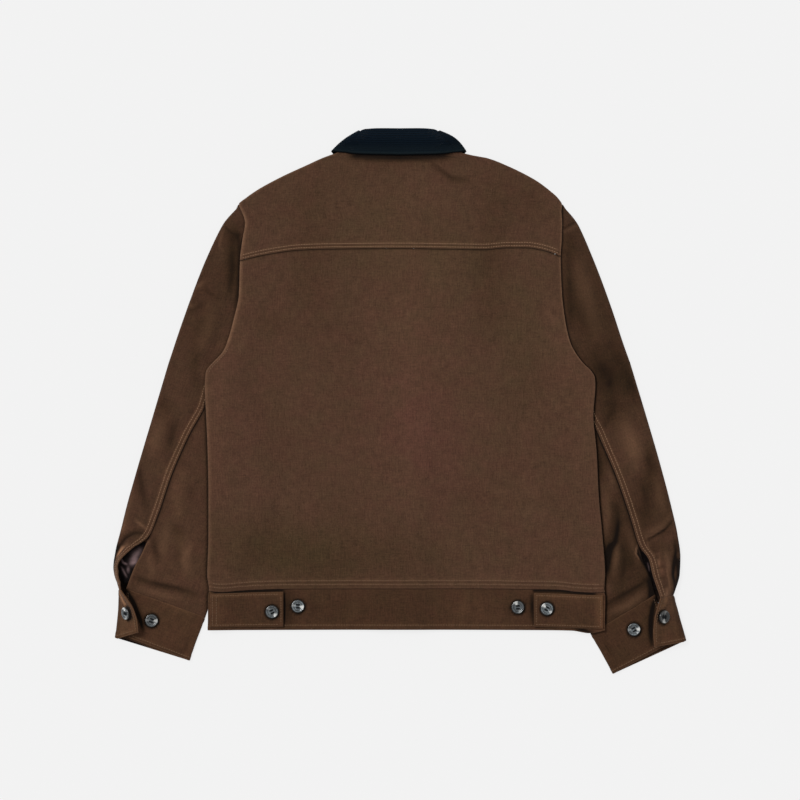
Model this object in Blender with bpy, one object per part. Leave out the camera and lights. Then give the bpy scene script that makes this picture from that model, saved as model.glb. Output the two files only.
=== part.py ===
"""A brushed-canvas work jacket laid flat on its front, with its back up.

Every cut piece is a thin wall of cloth. Tables and named sizes are in millimetres, and the meshes are
made in metres. X runs to the wearer's right, Y towards the collar, and Z up from the floor.
"""

import math

import bpy
import numpy as np

MM = 0.001

# Cloth and the room between layers
CLOTH = 2.4
CORDUROY = 2.2
LINING = 1.0
TAB_CLOTH = 2.0
SEAM = 0.4
LAYER = CLOTH + SEAM
FLOOR_MID = CLOTH / 2

# What the front lies over, and how softly the cloth comes down beside it
SLEEVE_STACK = 6.6
SLEEVE_RAMP = 45.0
PAST_FOLD = 8.0
COLLAR_STACK = 2.9
BUTTON_ROOM = 3.2
PLACKET_HALF = 19.0
PLACKET_RAMP = 45.0
PLACKET_TOP = 256.0
BACK_LOFT = 1.0
ARMHOLE_RISE = 2.8
NECK_SAG = 3.0
EDGE_RADIUS = 2.0
NECK_GAP = 1.0

# Armhole: the front stops short of the body's edge, by a little more at the edge's end
FRONT_INSET = 9.0
FRONT_INSET_MORE = 3.0
ARMPIT_Y = 50.0
SHOULDER_Y = 271.0

# The body's edge curls down to its seam, less far where the sleeve is sewn in, and is wider on the shoulder
CLOSED_TURN = 77.0
OPEN_TURN = 51.0
CLOSED_FROM = 75.0
OPEN_FROM_Y = 24.0
OPEN_TO_Y = 270.0
SHOULDER_FROM_Y = 272.0
SHOULDER_TO_Y = 340.0
SHOULDER_STRETCH = 0.9

# The collar's leaves on the floor lie in an oval about the neck
COLLAR_OVAL_X = 118.0
COLLAR_OVAL_Y = 140.0
COLLAR_OVAL_CENTRE_Y = 330.0
COLLAR_OVAL_REACH = 1.55
COLLAR_OVAL_RAMP = 0.37

# The hollow of the neck, and the air under the back
NECK_HALF = 55.0
NECK_FROM_Y = 265.0
NECK_RAMP = 60.0
AIR_WAVE = 0.5
AIR_WAVE_X = 62.0
AIR_WAVE_Y = 75.0
BESIDE_ARMHOLE = 45.0

# How the sections are laid out
SEAM_BEND = 60.0
FOLD_MARGIN = 11.0
YOKE_NECK_SHARE = 0.8
COLUMN_ROOM = 1.5
PLACKET_FOOT = -259.5

# Buttons
BUTTON_RADIUS = 10.0
BUTTON_HEIGHT = 2.9
BUTTON_SIDES = 16
FRONT_BUTTON_TOP = 235.0
FRONT_BUTTON_PITCH = 105.0
FRONT_BUTTONS = 6
UPPER_SHARE = 0.25

CANVAS = ("canvas", (0.078, 0.041, 0.025, 1.0), 0.92)
CANVAS_DARK = ("canvas_band", (0.054, 0.028, 0.016, 1.0), 0.92)
CORD = ("corduroy", (0.0044, 0.0078, 0.0125, 1.0), 0.95)
SATIN = ("satin", (0.14, 0.10, 0.11, 1.0), 0.45)
HORN = ("horn", (0.07, 0.08, 0.09, 1.0), 0.25)


def table(names, *rows):
    return dict(zip(names.split(), np.array(rows, float).T))


# The body's outline: side seams, armholes and shoulders, from the hem up to the neck.
BODY = table(
    "y left right",
    (-325, -268, 288),
    (-273, -268, 289),
    (-262, -266, 287),
    (-243, -269, 288.5),
    (-190, -267.4, 285),
    (-132, -267.4, 279.6),
    (-70, -268.5, 276.6),
    (-20, -270.5, 272.3),
    (22, -272.3, 274),
    (34, -271.5, 272.7),
    (43, -270, 267.5),
    (53, -262, 257),
    (70, -246.5, 243.5),
    (84, -240.5, 237),
    (113, -232.3, 230.5),
    (150, -224.5, 226),
    (202, -222.7, 224.1),
    (227, -219.4, 225.6),
    (250, -215.9, 226.1),
    (268, -221.5, 226.2),
    (276, -226.5, 227.6),
    (284, -217.7, 223),
    (295, -202.3, 211),
    (307, -181, 195),
    (318, -159, 176),
    (329, -135, 153),
    (340, -111, 124),
    (343.5, -101, 103.5),
    (346.5, -91.5, 89.5),
    (352, -87, 84),
    (359, -78, 75),
)

# Where the yoke, the waistband and the hem run across the back.
YOKE_SEAM = table("x y", (-222, 197.5), (-197, 203.6), (-169, 208.6), (-142, 212), (-100, 213.4),
                  (0, 214.2), (118, 212.8), (150, 215.3), (177, 215.3), (197, 212.4), (225, 203.6))
WAIST_SEAM = table("x y", (-268, -265), (-250, -268), (-200, -264), (-100, -261), (0, -260),
                   (100, -261), (200, -264), (260, -268), (288, -266))
HEM = table("x y", (-268, -320), (0, -319.3), (200, -320), (240, -320.5), (265, -324), (288, -320))

# The level lines on which the body's sections are taken.
BACK_LEVELS = (-215, -160, -95, -30, 22, 34, 46, 60, 80, 108, 150, 188)
YOKE_LEVELS = (240, 267, 277, 293, 307, 319, 331.5, 343.5, 346.5)
FRONT_LEVELS = (214, 240, 277, 293, 319, 343.5, 346.5)
BAND_DROPS = (0.0, 0.35, 0.7, 1.0)
# Each half has columns along the slope beside the sleeve, the flat of the panel and the placket's slope.
SLOPE_COLUMNS = (0, 15, 30, 45)
PLACKET_COLUMNS = (64, 19)

# Collar: roll line and fall edge from the centre back round the neck to the front edge. turn is how far
# the strip has gone round, from the back, 0, to the front, 180 degrees.
COLLAR = table(
    "roll_x roll_y fall_x fall_y turn",
    (0, 379.6, 0, 343, 0),
    (20, 379.6, 22, 343.4, 0),
    (36, 379.5, 44, 343.9, 0),
    (47, 378.8, 64, 345.4, 0),
    (53.5, 377.4, 78, 348, 0),
    (55, 376.6, 87, 347, 40),
    (55.3, 375.8, 89.5, 345.5, 90),
    (55.6, 375, 89, 345, 150),
    (56, 373, 92, 341, 180),
    (64, 345, 104, 318, 180),
    (62, 322, 106, 286, 180),
    (46, 299, 94, 252, 180),
    (28, 286, 80, 230, 180),
    (13, 279, 62, 213, 180),
)
COLLAR_MID_Z = 5.85
FALL_REACH = 4.75
STAND_REACH = 1.9
ROLL_RADIUS = (FALL_REACH - STAND_REACH) / 2
STAND_WIDTH = 24.0
STAND_SWELL = 0.7
ROLL_SEAM_ANGLE = 12.0
ROLL_MIDDLE_ANGLE = 50.0
LEFT_COLLAR_STRETCH = 1.04
# How far the collar swells outward where it turns over each shoulder.
CORNER_SWELL = {"left": 4.0, "right": 7.3}

# Sleeves, from the shoulder to the cuff seam. outer is the fold away from the body, edge the seam or
# the free edge of the upper sleeve, under the edge of the under sleeve, inner the fold below the body,
# and round the radius of the outer fold.
SLEEVE_LEFT = table(
    "outer_x outer_y edge_x edge_y edge_z under_x under_y under_z inner_x inner_y round",
    (-229, 270, -215, 266, 4.0, 0, 0, 4.0, 0, 0, 1.5),
    (-245.7, 250.6, -209, 250, 4.0, 0, 0, 4.0, 0, 0, 2.0),
    (-272, 197.5, -215.7, 194.6, 4.0, 0, 0, 4.0, 0, 0, 2.6),
    (-298.9, 127.4, -224, 116, 4.0, 0, 0, 4.0, 0, 0, 2.6),
    (-312.5, 88.2, -236, 77, 4.0, 0, 0, 4.0, 0, 0, 2.6),
    (-318.5, 70, -252.5, 54, 4.0, 0, 0, 4.0, 0, 0, 2.6),
    (-324.1, 53.2, -263, 33, 4.0, -261.5, 32.2, 4.0, -247, 26, 2.6),
    (-335.3, 15.4, -272.3, -4.2, 4.2, -272.3, -4.2, 4.2, -229, -18.2, 2.6),
    (-348.6, -29.4, -295.4, -47.6, 4.8, -295.4, -47.6, 4.8, -208, -77, 2.6),
    (-366.1, -88.2, -319.9, -103.6, 5.2, -319.9, -103.6, 5.2, -211.4, -140, 2.6),
    (-381.5, -142.8, -338.1, -157.5, 5.6, -338.1, -157.5, 5.4, -228.9, -194.6, 2.6),
    (-390.6, -179.2, -351.9, -189.5, 7.0, -351.5, -189.5, 5.5, -241.5, -226.8, 3.0),
    (-398.3, -210, -375.9, -207.2, 15.0, -360.5, -210, 5.5, -254.1, -250.6, 4.0),
    (-401.1, -232.4, -394.1, -231, 22.0, -372.4, -233.1, 5.5, -262.5, -273, 5.0),
    (-393.4, -263.2, -389.2, -262.5, 30.0, -383.5, -261.8, 5.5, -272.3, -301.7, 5.0),
)
SLEEVE_RIGHT = table(
    "outer_x outer_y edge_x edge_y edge_z under_x under_y under_z inner_x inner_y round",
    (231.5, 270, 219.2, 266, 4.0, 0, 0, 4.0, 0, 0, 1.5),
    (247.1, 250.6, 219.1, 250, 4.0, 0, 0, 4.0, 0, 0, 2.0),
    (272.3, 194.6, 217.2, 194.6, 4.0, 0, 0, 4.0, 0, 0, 2.6),
    (298.2, 124.6, 222.3, 116, 4.0, 0, 0, 4.0, 0, 0, 2.6),
    (309.5, 90, 232.5, 77, 4.0, 0, 0, 4.0, 0, 0, 2.6),
    (316, 71, 249.5, 54, 4.0, 0, 0, 4.0, 0, 0, 2.6),
    (322, 54.6, 264.2, 33, 4.0, 262.7, 32.2, 4.0, 247, 26.6, 2.6),
    (333.9, 15.4, 261.8, -7.7, 4.0, 261.8, -7.7, 4.0, 227.5, -18.9, 2.6),
    (346.5, -26.6, 277.9, -46.9, 4.2, 277.9, -46.9, 4.2, 209.3, -71.4, 2.6),
    (364, -86.8, 303.1, -106.4, 4.8, 303.1, -106.4, 4.8, 210.7, -137.2, 2.6),
    (379.4, -145.6, 322.7, -163.8, 5.4, 322.7, -163.8, 5.2, 231.7, -196, 2.6),
    (388.5, -186.2, 334.6, -202, 7.0, 334.4, -202, 5.5, 248.5, -231, 3.0),
    (392.4, -217, 348.6, -222.6, 12.0, 338.8, -224, 5.5, 256.9, -254.8, 4.0),
    (391.3, -240.8, 354.2, -242.9, 18.0, 347.9, -243.6, 5.5, 263.9, -280, 5.0),
    (382.6, -270.2, 366.1, -274.4, 26.0, 357.7, -270.2, 5.5, 266.7, -324.8, 5.0),
)
ARMPIT_ROW = 6
FRONT_SEAM_SHARE = 0.75
SLEEVE_BULGE = 1.0
INNER_FOLD = 1.4

# Cuffs below the cuff seam: the same columns, with edge as the end of the lifted overlap.
CUFF_LEFT = table(
    "outer_x outer_y edge_x edge_y edge_z under_x under_y under_z inner_x inner_y round",
    (-394.1, -287, -373.5, -291.2, 31.0, -384, -288, 5.5, -282.8, -330.4, 5.0),
    (-396, -309, -369, -307, 28.0, -382, -310, 5.5, -289, -347, 5.0),
    (-398.6, -330.4, -366.7, -322, 22.0, -379, -330.5, 5.5, -294.7, -362.6, 5.0),
)
CUFF_RIGHT = table(
    "outer_x outer_y edge_x edge_y edge_z under_x under_y under_z inner_x inner_y round",
    (391, -300, 356.6, -302.4, 29.0, 367.5, -305, 5.5, 281, -350, 5.0),
    (396, -318, 356, -323, 25.0, 369.5, -326, 5.5, 290, -366.5, 5.0),
    (400.3, -334.3, 357.4, -343, 20.0, 371, -342, 5.5, 298.1, -381.2, 5.0),
)

# Waist tabs: from the side seam to the free end, which lifts a little.
TABS = {
    "left": dict(seam=-264.5, end=-163.1, top_seam=-269.5, top_end=-266.4, foot_seam=-316, foot_end=-315),
    "right": dict(seam=285, end=187.7, top_seam=-272.5, top_end=-269, foot_seam=-318, foot_end=-315),
}
TAB_END_LIFT = 2.0
TAB_COLUMN_MOST = 25.0
TAB_COLUMN_LEAST = 5.0
WAIST_BUTTONS = {
    "waist_tab_button_left": (-178.9, -294),
    "waist_button_left": (-142.7, -286.2),
    "waist_button_right": (164.2, -288.3),
    "waist_tab_button_right": (205.5, -290.1),
}
CUFF_BUTTONS = {"left": (-347.2, -305.9), "right": (327.3, -318.5)}
FLAP_BUTTONS = {"left": (-383.4, -295.7), "right": (369.2, -301.3)}
BUTTON_CLEAR = 0.5
FLAP_CLEAR = {"left": 1.0, "right": 0.5}

# The lining in each sleeve slit: the sleeve's part rows it spans, how far it reaches under the edges of
# the slit, and its crumple
LINING_PLACES = (11.35, 11.7, 12.1, 12.5, 13.1, 13.7)
LINING_UNDER = 8.0
LINING_OVER = 4.0
LINING_LEAST = 9.0
LINING_CRUMPLE = 1.8


def smoothstep(t):
    t = np.clip(t, 0.0, 1.0)
    return t * t * (3 - 2 * t)


def curve(knots, values):
    """A smooth curve through the values that never overshoots them."""
    knots, values = np.asarray(knots, float), np.asarray(values, float)
    step = np.diff(knots)
    rise = np.diff(values) / step
    slope = np.empty_like(values)
    slope[0], slope[-1] = rise[0], rise[-1]
    product = rise[:-1] * rise[1:]
    total = rise[:-1] + rise[1:]
    slope[1:-1] = np.where(product > 0, 2 * product / np.where(total == 0, 1, total), 0)

    def at(t):
        t = np.clip(np.asarray(t, float), knots[0], knots[-1])
        k = np.clip(np.searchsorted(knots, t, side="right") - 1, 0, len(step) - 1)
        s = (t - knots[k]) / step[k]
        return ((1 + 2 * s) * (1 - s) ** 2 * values[k] + s * (1 - s) ** 2 * step[k] * slope[k]
                + s * s * (3 - 2 * s) * values[k + 1] + s * s * (s - 1) * step[k] * slope[k + 1])

    return at


outline = {"left": curve(BODY["y"], BODY["left"]), "right": curve(BODY["y"], BODY["right"])}
yoke_seam = curve(YOKE_SEAM["x"], YOKE_SEAM["y"])
waist_seam = curve(WAIST_SEAM["x"], WAIST_SEAM["y"])
hem_line = curve(HEM["x"], HEM["y"])


def inner_fold(rows, cuff):
    """The inner fold's x at each level, from the armpit down to the cuff."""
    y = np.append(rows["inner_y"][ARMPIT_ROW:], cuff["inner_y"][:1])
    x = np.append(rows["inner_x"][ARMPIT_ROW:], cuff["inner_x"][:1])
    return curve(y[::-1], x[::-1])


fold_left = inner_fold(SLEEVE_LEFT, CUFF_LEFT)
fold_right = inner_fold(SLEEVE_RIGHT, CUFF_RIGHT)


# ---- heights of the layers ----

def over_sleeves(x, y):
    """The lift given by the sleeves that lie under the body's sides."""
    left = smoothstep((fold_left(y) + PAST_FOLD + SLEEVE_RAMP - x) / SLEEVE_RAMP)
    right = smoothstep((x - fold_right(y) + PAST_FOLD + SLEEVE_RAMP) / SLEEVE_RAMP)
    fade = 1 - smoothstep((y - ARMPIT_Y) / SLEEVE_RAMP)
    return SLEEVE_STACK * np.maximum(left, right) * fade


def over_collar(x, y):
    """The lift given by the collar's front leaves, which lie on the floor."""
    q = np.hypot(x / COLLAR_OVAL_X, (COLLAR_OVAL_CENTRE_Y - y) / COLLAR_OVAL_Y)
    return COLLAR_STACK * smoothstep((COLLAR_OVAL_REACH - q) / COLLAR_OVAL_RAMP)


def under_front(x, y):
    return np.maximum(over_sleeves(x, y), over_collar(x, y))


def left_height(x, y):
    """Mid height of the left front, whose placket lies on the buttons."""
    ramp = smoothstep((x + PLACKET_HALF + PLACKET_RAMP) / PLACKET_RAMP)
    return FLOOR_MID + np.maximum(under_front(x, y), BUTTON_ROOM * ramp)


def right_height(x, y):
    """Mid height of the right front, whose placket lies over the left one."""
    ramp = smoothstep((PLACKET_HALF + PLACKET_RAMP - x) / PLACKET_RAMP)
    return FLOOR_MID + np.maximum(under_front(x, y), (BUTTON_ROOM + LAYER) * ramp)


def neck_sag(x, y):
    return NECK_SAG * smoothstep(1 - np.abs(x) / NECK_HALF) * smoothstep((y - NECK_FROM_Y) / NECK_RAMP)


def back_height(x, y):
    """Mid height of the back, which lies on both fronts with a little air between."""
    middle = smoothstep((PLACKET_HALF + PLACKET_RAMP - np.abs(x)) / PLACKET_RAMP)
    middle = middle * (1 - smoothstep((y - PLACKET_TOP - 6) / 40.0))
    under = np.maximum(under_front(x, y), (BUTTON_ROOM + LAYER) * middle)
    air = BACK_LOFT + AIR_WAVE * np.sin(x / AIR_WAVE_X + 0.8) * np.sin(y / AIR_WAVE_Y + 0.4)
    air = air * (1 - 0.6 * smoothstep((y - 300.0) / 35.0))
    inside = np.minimum(x - outline["left"](y), outline["right"](y) - x)
    beside_sleeve = smoothstep((y - 20) / 30.0) * (1 - smoothstep((y - SHOULDER_Y) / 25.0))
    rise = ARMHOLE_RISE * smoothstep(1 - inside / BESIDE_ARMHOLE) * beside_sleeve
    return FLOOR_MID + LAYER + under + air + rise - neck_sag(x, y)


# ---- meshes ----

def unit(v):
    v = np.asarray(v, float)
    return v / np.linalg.norm(v, axis=-1, keepdims=True)


def grid_normals(grid):
    across = np.gradient(grid, axis=1, edge_order=2)
    along = np.gradient(grid, axis=0, edge_order=2)
    return unit(np.cross(across, along))


def material(finish):
    name, colour, roughness = finish
    made = bpy.data.materials.get(name)
    if made is None:
        made = bpy.data.materials.new(name)
        made.use_nodes = True
        shader = made.node_tree.nodes["Principled BSDF"]
        shader.inputs["Base Color"].default_value = colour
        shader.inputs["Roughness"].default_value = roughness
        shader.inputs["Metallic"].default_value = 0.0
    return made


def add_object(name, points, faces, finish):
    points = np.asarray(points, float)
    corners = [[points[i] for i in face] for face in faces]
    volume = sum(np.dot(c[0], np.cross(c[k], c[k + 1])) for c in corners for k in range(1, len(c) - 1))
    if volume < 0:
        faces = [face[::-1] for face in faces]
    mesh = bpy.data.meshes.new(name)
    mesh.from_pydata((points * MM).tolist(), [], faces)
    mesh.validate()
    made = bpy.data.objects.new(name, mesh)
    bpy.context.scene.collection.objects.link(made)
    mesh.materials.append(material(finish))
    return made


def wall(name, grid, finish, thickness=CLOTH):
    """A closed wall of even thickness about a grid of mid-surface points."""
    grid = np.asarray(grid, float)
    rows, columns = grid.shape[:2]
    offset = grid_normals(grid) * thickness / 2
    points = np.concatenate([(grid + offset).reshape(-1, 3), (grid - offset).reshape(-1, 3)])
    other = rows * columns

    def at(i, j):
        return i * columns + j

    faces = []
    for i in range(rows - 1):
        for j in range(columns - 1):
            a, b, c, d = at(i, j), at(i, j + 1), at(i + 1, j + 1), at(i + 1, j)
            faces += [(a, b, c), (a, c, d)]
            faces += [(other + a, other + c, other + b), (other + a, other + d, other + c)]
    rim = [at(0, j) for j in range(columns)] + [at(i, columns - 1) for i in range(1, rows)]
    rim += [at(rows - 1, j) for j in range(columns - 2, -1, -1)] + [at(i, 0) for i in range(rows - 2, 0, -1)]
    for a, b in zip(rim, rim[1:] + rim[:1]):
        faces += [(b, a, other + a), (b, other + a, other + b)]
    return add_object(name, points, faces, finish)


def surface_z(grid, x, y):
    """The height of a grid at x, y in plan. Outside the grid it is that of the nearest point inside."""
    grid = np.asarray(grid, float)
    best = (math.inf, 0.0)
    for i in range(grid.shape[0] - 1):
        for j in range(grid.shape[1] - 1):
            a, b, c, d = grid[i, j], grid[i, j + 1], grid[i + 1, j + 1], grid[i + 1, j]
            for p, q, r in ((a, b, c), (a, c, d)):
                edges = np.array([q[:2] - p[:2], r[:2] - p[:2]]).T
                if abs(np.linalg.det(edges)) < 1e-6:
                    continue
                u, v = np.linalg.solve(edges, np.array([x, y]) - p[:2])
                u, v = max(u, 0.0), max(v, 0.0)
                total = max(u + v, 1.0)
                point = p + (q - p) * u / total + (r - p) * v / total
                best = min(best, (round(math.hypot(point[0] - x, point[1] - y), 6), float(point[2])))
    return best[1]


# ---- the body ----

def edge_turn(y):
    """How far the body's edge curls down, in radians: right round where it is closed, a little at the armhole."""
    open_part = smoothstep((y - OPEN_FROM_Y) / 20.0) * (1 - smoothstep((y - OPEN_TO_Y) / 7.0))
    return math.radians(CLOSED_TURN - OPEN_TURN * open_part)


def edge_stretch(y):
    """The shoulder runs aslant to the level sections, so its rounded edge is wider along them."""
    on_shoulder = smoothstep((y - SHOULDER_FROM_Y) / 10.0) * (1 - smoothstep((y - SHOULDER_TO_Y) / 8.0))
    return 1 + SHOULDER_STRETCH * on_shoulder


def body_edge(side, y, height, upper):
    """Three points round the body's edge at level y, from the seam to the flat, as (x, z)."""
    sign = -1 if side == "left" else 1
    edge = float(outline[side](y))
    stretch = float(edge_stretch(y))
    centre = edge - sign * (CLOTH / 2 + EDGE_RADIUS) * stretch
    top, bottom = float(back_height(centre, y)), float(height(centre, y))
    radius = (top - bottom) / 2
    reach = min(radius, EDGE_RADIUS) * stretch
    mid = (top + bottom) / 2
    turn = float(edge_turn(y))
    closed = turn > math.radians(CLOSED_FROM)
    points = []
    for share in (1.0, 0.5, 0.0):
        angle = share * turn
        if upper:
            points.append((centre + sign * reach * math.sin(angle), mid + radius * math.cos(angle)))
        elif closed:
            points.append((centre + sign * reach * math.sin(angle), mid - radius * math.cos(angle)))
        else:
            inset = FRONT_INSET + FRONT_INSET_MORE * (1 - share)
            points.append((edge - sign * inset, float(height(edge, y))))
    return points


def half_columns(side, y):
    """The columns of one half of a section, from the side inwards to the placket's edge."""
    sign = -1 if side == "left" else 1
    edge = abs(float(outline[side](y)))
    fold_at = abs(float((fold_left if side == "left" else fold_right)(y)))
    start = min(fold_at - PAST_FOLD, edge - FOLD_MARGIN)
    columns = [start - step for step in SLOPE_COLUMNS]
    gap = (columns[-1] - PLACKET_COLUMNS[0]) / 3
    columns += [columns[-1] - gap, columns[-1] - 2 * gap, *PLACKET_COLUMNS]
    return [sign * column for column in columns]


def back_row(y_at, level):
    """One section across the back from side to side. y_at bends the level line to a seam."""
    row = []
    for side, height in (("left", left_height), ("right", right_height)):
        edge_y = float(y_at(float(outline[side](level))))
        half = [(x, edge_y, z) for x, z in body_edge(side, edge_y, height, True)]
        for x in half_columns(side, edge_y):
            y = float(y_at(x))
            half.append((x, y, float(back_height(x, y))))
        row += half if side == "left" else [(0.0, y_at(0.0), float(back_height(0.0, y_at(0.0))))] + half[::-1]
    return row


def bent_levels(levels, seam_low=None, seam_high=None):
    """Level lines that bend towards the seam at either end."""
    rows = []

    def line(level):
        def y_at(x):
            y = level
            if seam_high is not None:
                top = float(seam_high(x))
                y += (top - seam_high(0.0)) * smoothstep(1 - (seam_high(0.0) - level) / SEAM_BEND)
            if seam_low is not None:
                foot = float(seam_low(x))
                y += (foot - seam_low(0.0)) * smoothstep(1 - (level - seam_low(0.0)) / SEAM_BEND)
            return float(y)
        return y_at

    for level in levels:
        rows.append(back_row(line(level), level))
    return rows


def make_back():
    foot = lambda x: waist_seam(x) + SEAM / 2
    top = lambda x: yoke_seam(x) - SEAM / 2
    levels = (foot(0.0),) + BACK_LEVELS + (top(0.0),)
    wall("back_panel", bent_levels(levels, foot, top), CANVAS)


def make_yoke():
    foot = lambda x: yoke_seam(x) + SEAM / 2
    rows = bent_levels((foot(0.0),) + YOKE_LEVELS, foot)
    ends = np.array([collar_point(f, STAND_WIDTH, 0.0) for f in collar_frames() if f["side"][2] > 0.9])
    neck = np.array(rows[-1])
    neck[:, 0] *= YOKE_NECK_SHARE
    neck[:, 1] = np.interp(neck[:, 0], ends[:, 0], ends[:, 1]) - NECK_GAP
    neck[:, 2] = back_height(neck[:, 0], neck[:, 1])
    wall("back_yoke", rows + [neck], CANVAS)


def front_row(side, y_at, level, inner, height):
    """One section of a front, from its side edge to the inner edge at x = inner."""
    edge_y = float(y_at(float(outline[side](level))))
    row = [(x, edge_y, z) for x, z in body_edge(side, edge_y, height, False)]
    sign = -1 if side == "left" else 1
    columns = half_columns(side, edge_y)[:-1]
    for k, x in enumerate(columns):
        room = COLUMN_ROOM * (len(columns) - k)
        x = sign * max(abs(x), abs(inner) + room)
        y = float(y_at(x))
        row.append((x, y, float(height(x, y))))
    row.append((inner, float(y_at(inner)), float(height(inner, y_at(inner)))))
    return row


def neckline(side):
    """Where the collar stand is sewn to a front: levels and their distances from the middle."""
    ends = []
    for frame in collar_frames():
        if frame["side"][2] < -0.9 and (frame["roll"][0] < 0) == (side == "left"):
            ends.append(collar_point(frame, STAND_WIDTH, 0.0)[:2])
    ends = np.array(sorted(ends, key=lambda end: end[1]))
    return ends[:, 1], np.abs(ends[:, 0])


def make_fronts():
    foot = lambda x: waist_seam(x) + SEAM / 2
    for side, sign, height in (("left", -1, left_height), ("right", 1, right_height)):
        neck_y, neck_x = neckline(side)
        rows = []
        levels = (float(foot(0.0)), *BACK_LEVELS, *FRONT_LEVELS, PLACKET_TOP + 1.5, *neck_y[:-1])
        for level in sorted(levels):
            inner = sign * (PLACKET_HALF + SEAM / 2)
            if level > PLACKET_TOP:
                inner = sign * (float(np.interp(level, neck_y, neck_x)) + NECK_GAP)

            def y_at(x, level=level):
                bend = (foot(x) - foot(0.0)) * smoothstep(1 - (level - foot(0.0)) / SEAM_BEND)
                return float(level + bend)

            rows.append(front_row(side, y_at, level, inner, height))
        wall("front_" + side, rows, CANVAS)


def make_plackets():
    """The button strips: the left one lies on the buttons and the right one over it."""
    levels = (PLACKET_FOOT,) + BACK_LEVELS + (FRONT_LEVELS[0], PLACKET_TOP)
    across = np.linspace(-1, 1, 3) * (PLACKET_HALF - SEAM / 2)
    for side, height in (("left", left_height), ("right", right_height)):
        rows = [[(x, y, float(height(x, y))) for x in across] for y in levels]
        wall("front_placket_" + side, rows, CANVAS)


def make_waistbands():
    def band_line(drop):
        return lambda x: (1 - drop) * (float(waist_seam(x)) - SEAM / 2) + drop * float(hem_line(x))

    lines = [band_line(drop) for drop in BAND_DROPS]
    band = [back_row(line, line(0.0)) for line in lines]
    wall("waistband_back", band, CANVAS_DARK)
    for side, sign, height in (("left", -1, left_height), ("right", 1, right_height)):
        rows = []
        for line in lines:
            row = front_row(side, line, line(0.0), sign * PLACKET_HALF, height)
            for x in (0.0, -sign * PLACKET_HALF):
                row.append((x, line(x), float(height(x, line(x)))))
            rows.append(row)
        wall("waistband_front_" + side, rows, CANVAS_DARK)
    return np.array(band)


def make_tabs(band):
    tabs = {}
    for side, size in TABS.items():
        low, high = sorted((size["seam"], size["end"]))
        inside = [x for x in band[1, :, 0] if low + TAB_COLUMN_LEAST < x < high - TAB_COLUMN_LEAST]
        columns = sorted([low, high] + inside)
        for k in range(len(columns) - 1):
            if columns[k + 1] - columns[k] > TAB_COLUMN_MOST:
                columns.append((columns[k] + columns[k + 1]) / 2)
        rows = []
        for v in BAND_DROPS:
            row = []
            for x in sorted(columns):
                u = (x - size["seam"]) / (size["end"] - size["seam"])
                top = size["top_seam"] + u * (size["top_end"] - size["top_seam"])
                foot = size["foot_seam"] + u * (size["foot_end"] - size["foot_seam"])
                y = top + v * (foot - top)
                lift = (CLOTH + TAB_CLOTH) / 2 + 2 * SEAM + TAB_END_LIFT * u ** 3
                row.append((x, y, surface_z(band, x, y) + lift))
            rows.append(row)
        tabs[side] = np.array(rows)
        wall("waist_tab_" + side, rows, CANVAS_DARK, TAB_CLOTH)
    return tabs


# ---- the collar ----

def collar_frames():
    """For each section round the neck: its roll point, the way to the fall edge, its outward side and length."""
    frames = []
    count = len(COLLAR["turn"])
    order = [(-1, k) for k in range(count - 1, 0, -1)] + [(1, k) for k in range(count)]
    for sign, k in order:
        stretch = LEFT_COLLAR_STRETCH if sign < 0 else 1.0
        roll = np.array([sign * stretch * COLLAR["roll_x"][k], COLLAR["roll_y"][k]])
        fall = np.array([sign * stretch * COLLAR["fall_x"][k], COLLAR["fall_y"][k]])
        way = unit(fall - roll)
        outward = np.array([-way[1], way[0]]) if sign > 0 else np.array([way[1], -way[0]])
        turn = math.radians(COLLAR["turn"][k])
        side = np.array([*(outward * math.sin(turn)), math.cos(turn)])
        swell = np.array([*outward, 0.0]) * math.sin(turn) * CORNER_SWELL["left" if sign < 0 else "right"]
        sag = float(neck_sag(roll[0], 345.0)) if turn < 0.1 else 0.0
        frames.append(dict(roll=np.array([*roll, COLLAR_MID_Z - sag]), way=np.array([*way, 0.0]), side=side,
                           swell=swell, length=float(np.linalg.norm(fall - roll))))
    return frames


def collar_point(frame, reach, height, swell_share=1.0):
    """A point of the strip, reach along it from the roll and height off its middle layer."""
    swell = frame["swell"] * swell_share * math.sin(math.pi * reach / frame["length"])
    return frame["roll"] + frame["way"] * reach + swell + frame["side"] * height


def make_collar():
    fall_rows, stand_rows = [], []
    for frame in collar_frames():
        centre = collar_point(frame, 0.0, FALL_REACH - ROLL_RADIUS)

        def round_roll(degrees):
            angle = math.radians(degrees)
            return centre + ROLL_RADIUS * (frame["side"] * math.sin(angle) - frame["way"] * math.cos(angle))

        fall = [collar_point(frame, frame["length"] * w, FALL_REACH) for w in (1, 0.75, 0.5, 0.25, 0.0)]
        fall_rows.append(fall + [round_roll(ROLL_MIDDLE_ANGLE), round_roll(ROLL_SEAM_ANGLE)])
        stand = [collar_point(frame, STAND_WIDTH * w, STAND_REACH, STAND_SWELL) for w in (0.0, 0.5, 1.0)]
        stand_rows.append([round_roll(-ROLL_SEAM_ANGLE), round_roll(-ROLL_MIDDLE_ANGLE)] + stand)
    wall("collar_fall", fall_rows, CORD, CORDUROY)
    wall("collar_stand", stand_rows, CORD, CORDUROY - 0.2)


# ---- sleeves and cuffs ----

def row_of(rows, k):
    return {name: float(column[k]) for name, column in rows.items()}


def between(rows, place):
    """The section at a whole or part row number."""
    numbers = np.arange(len(rows["outer_x"]))
    return {name: float(curve(numbers, column)(place)) for name, column in rows.items()}


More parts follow.
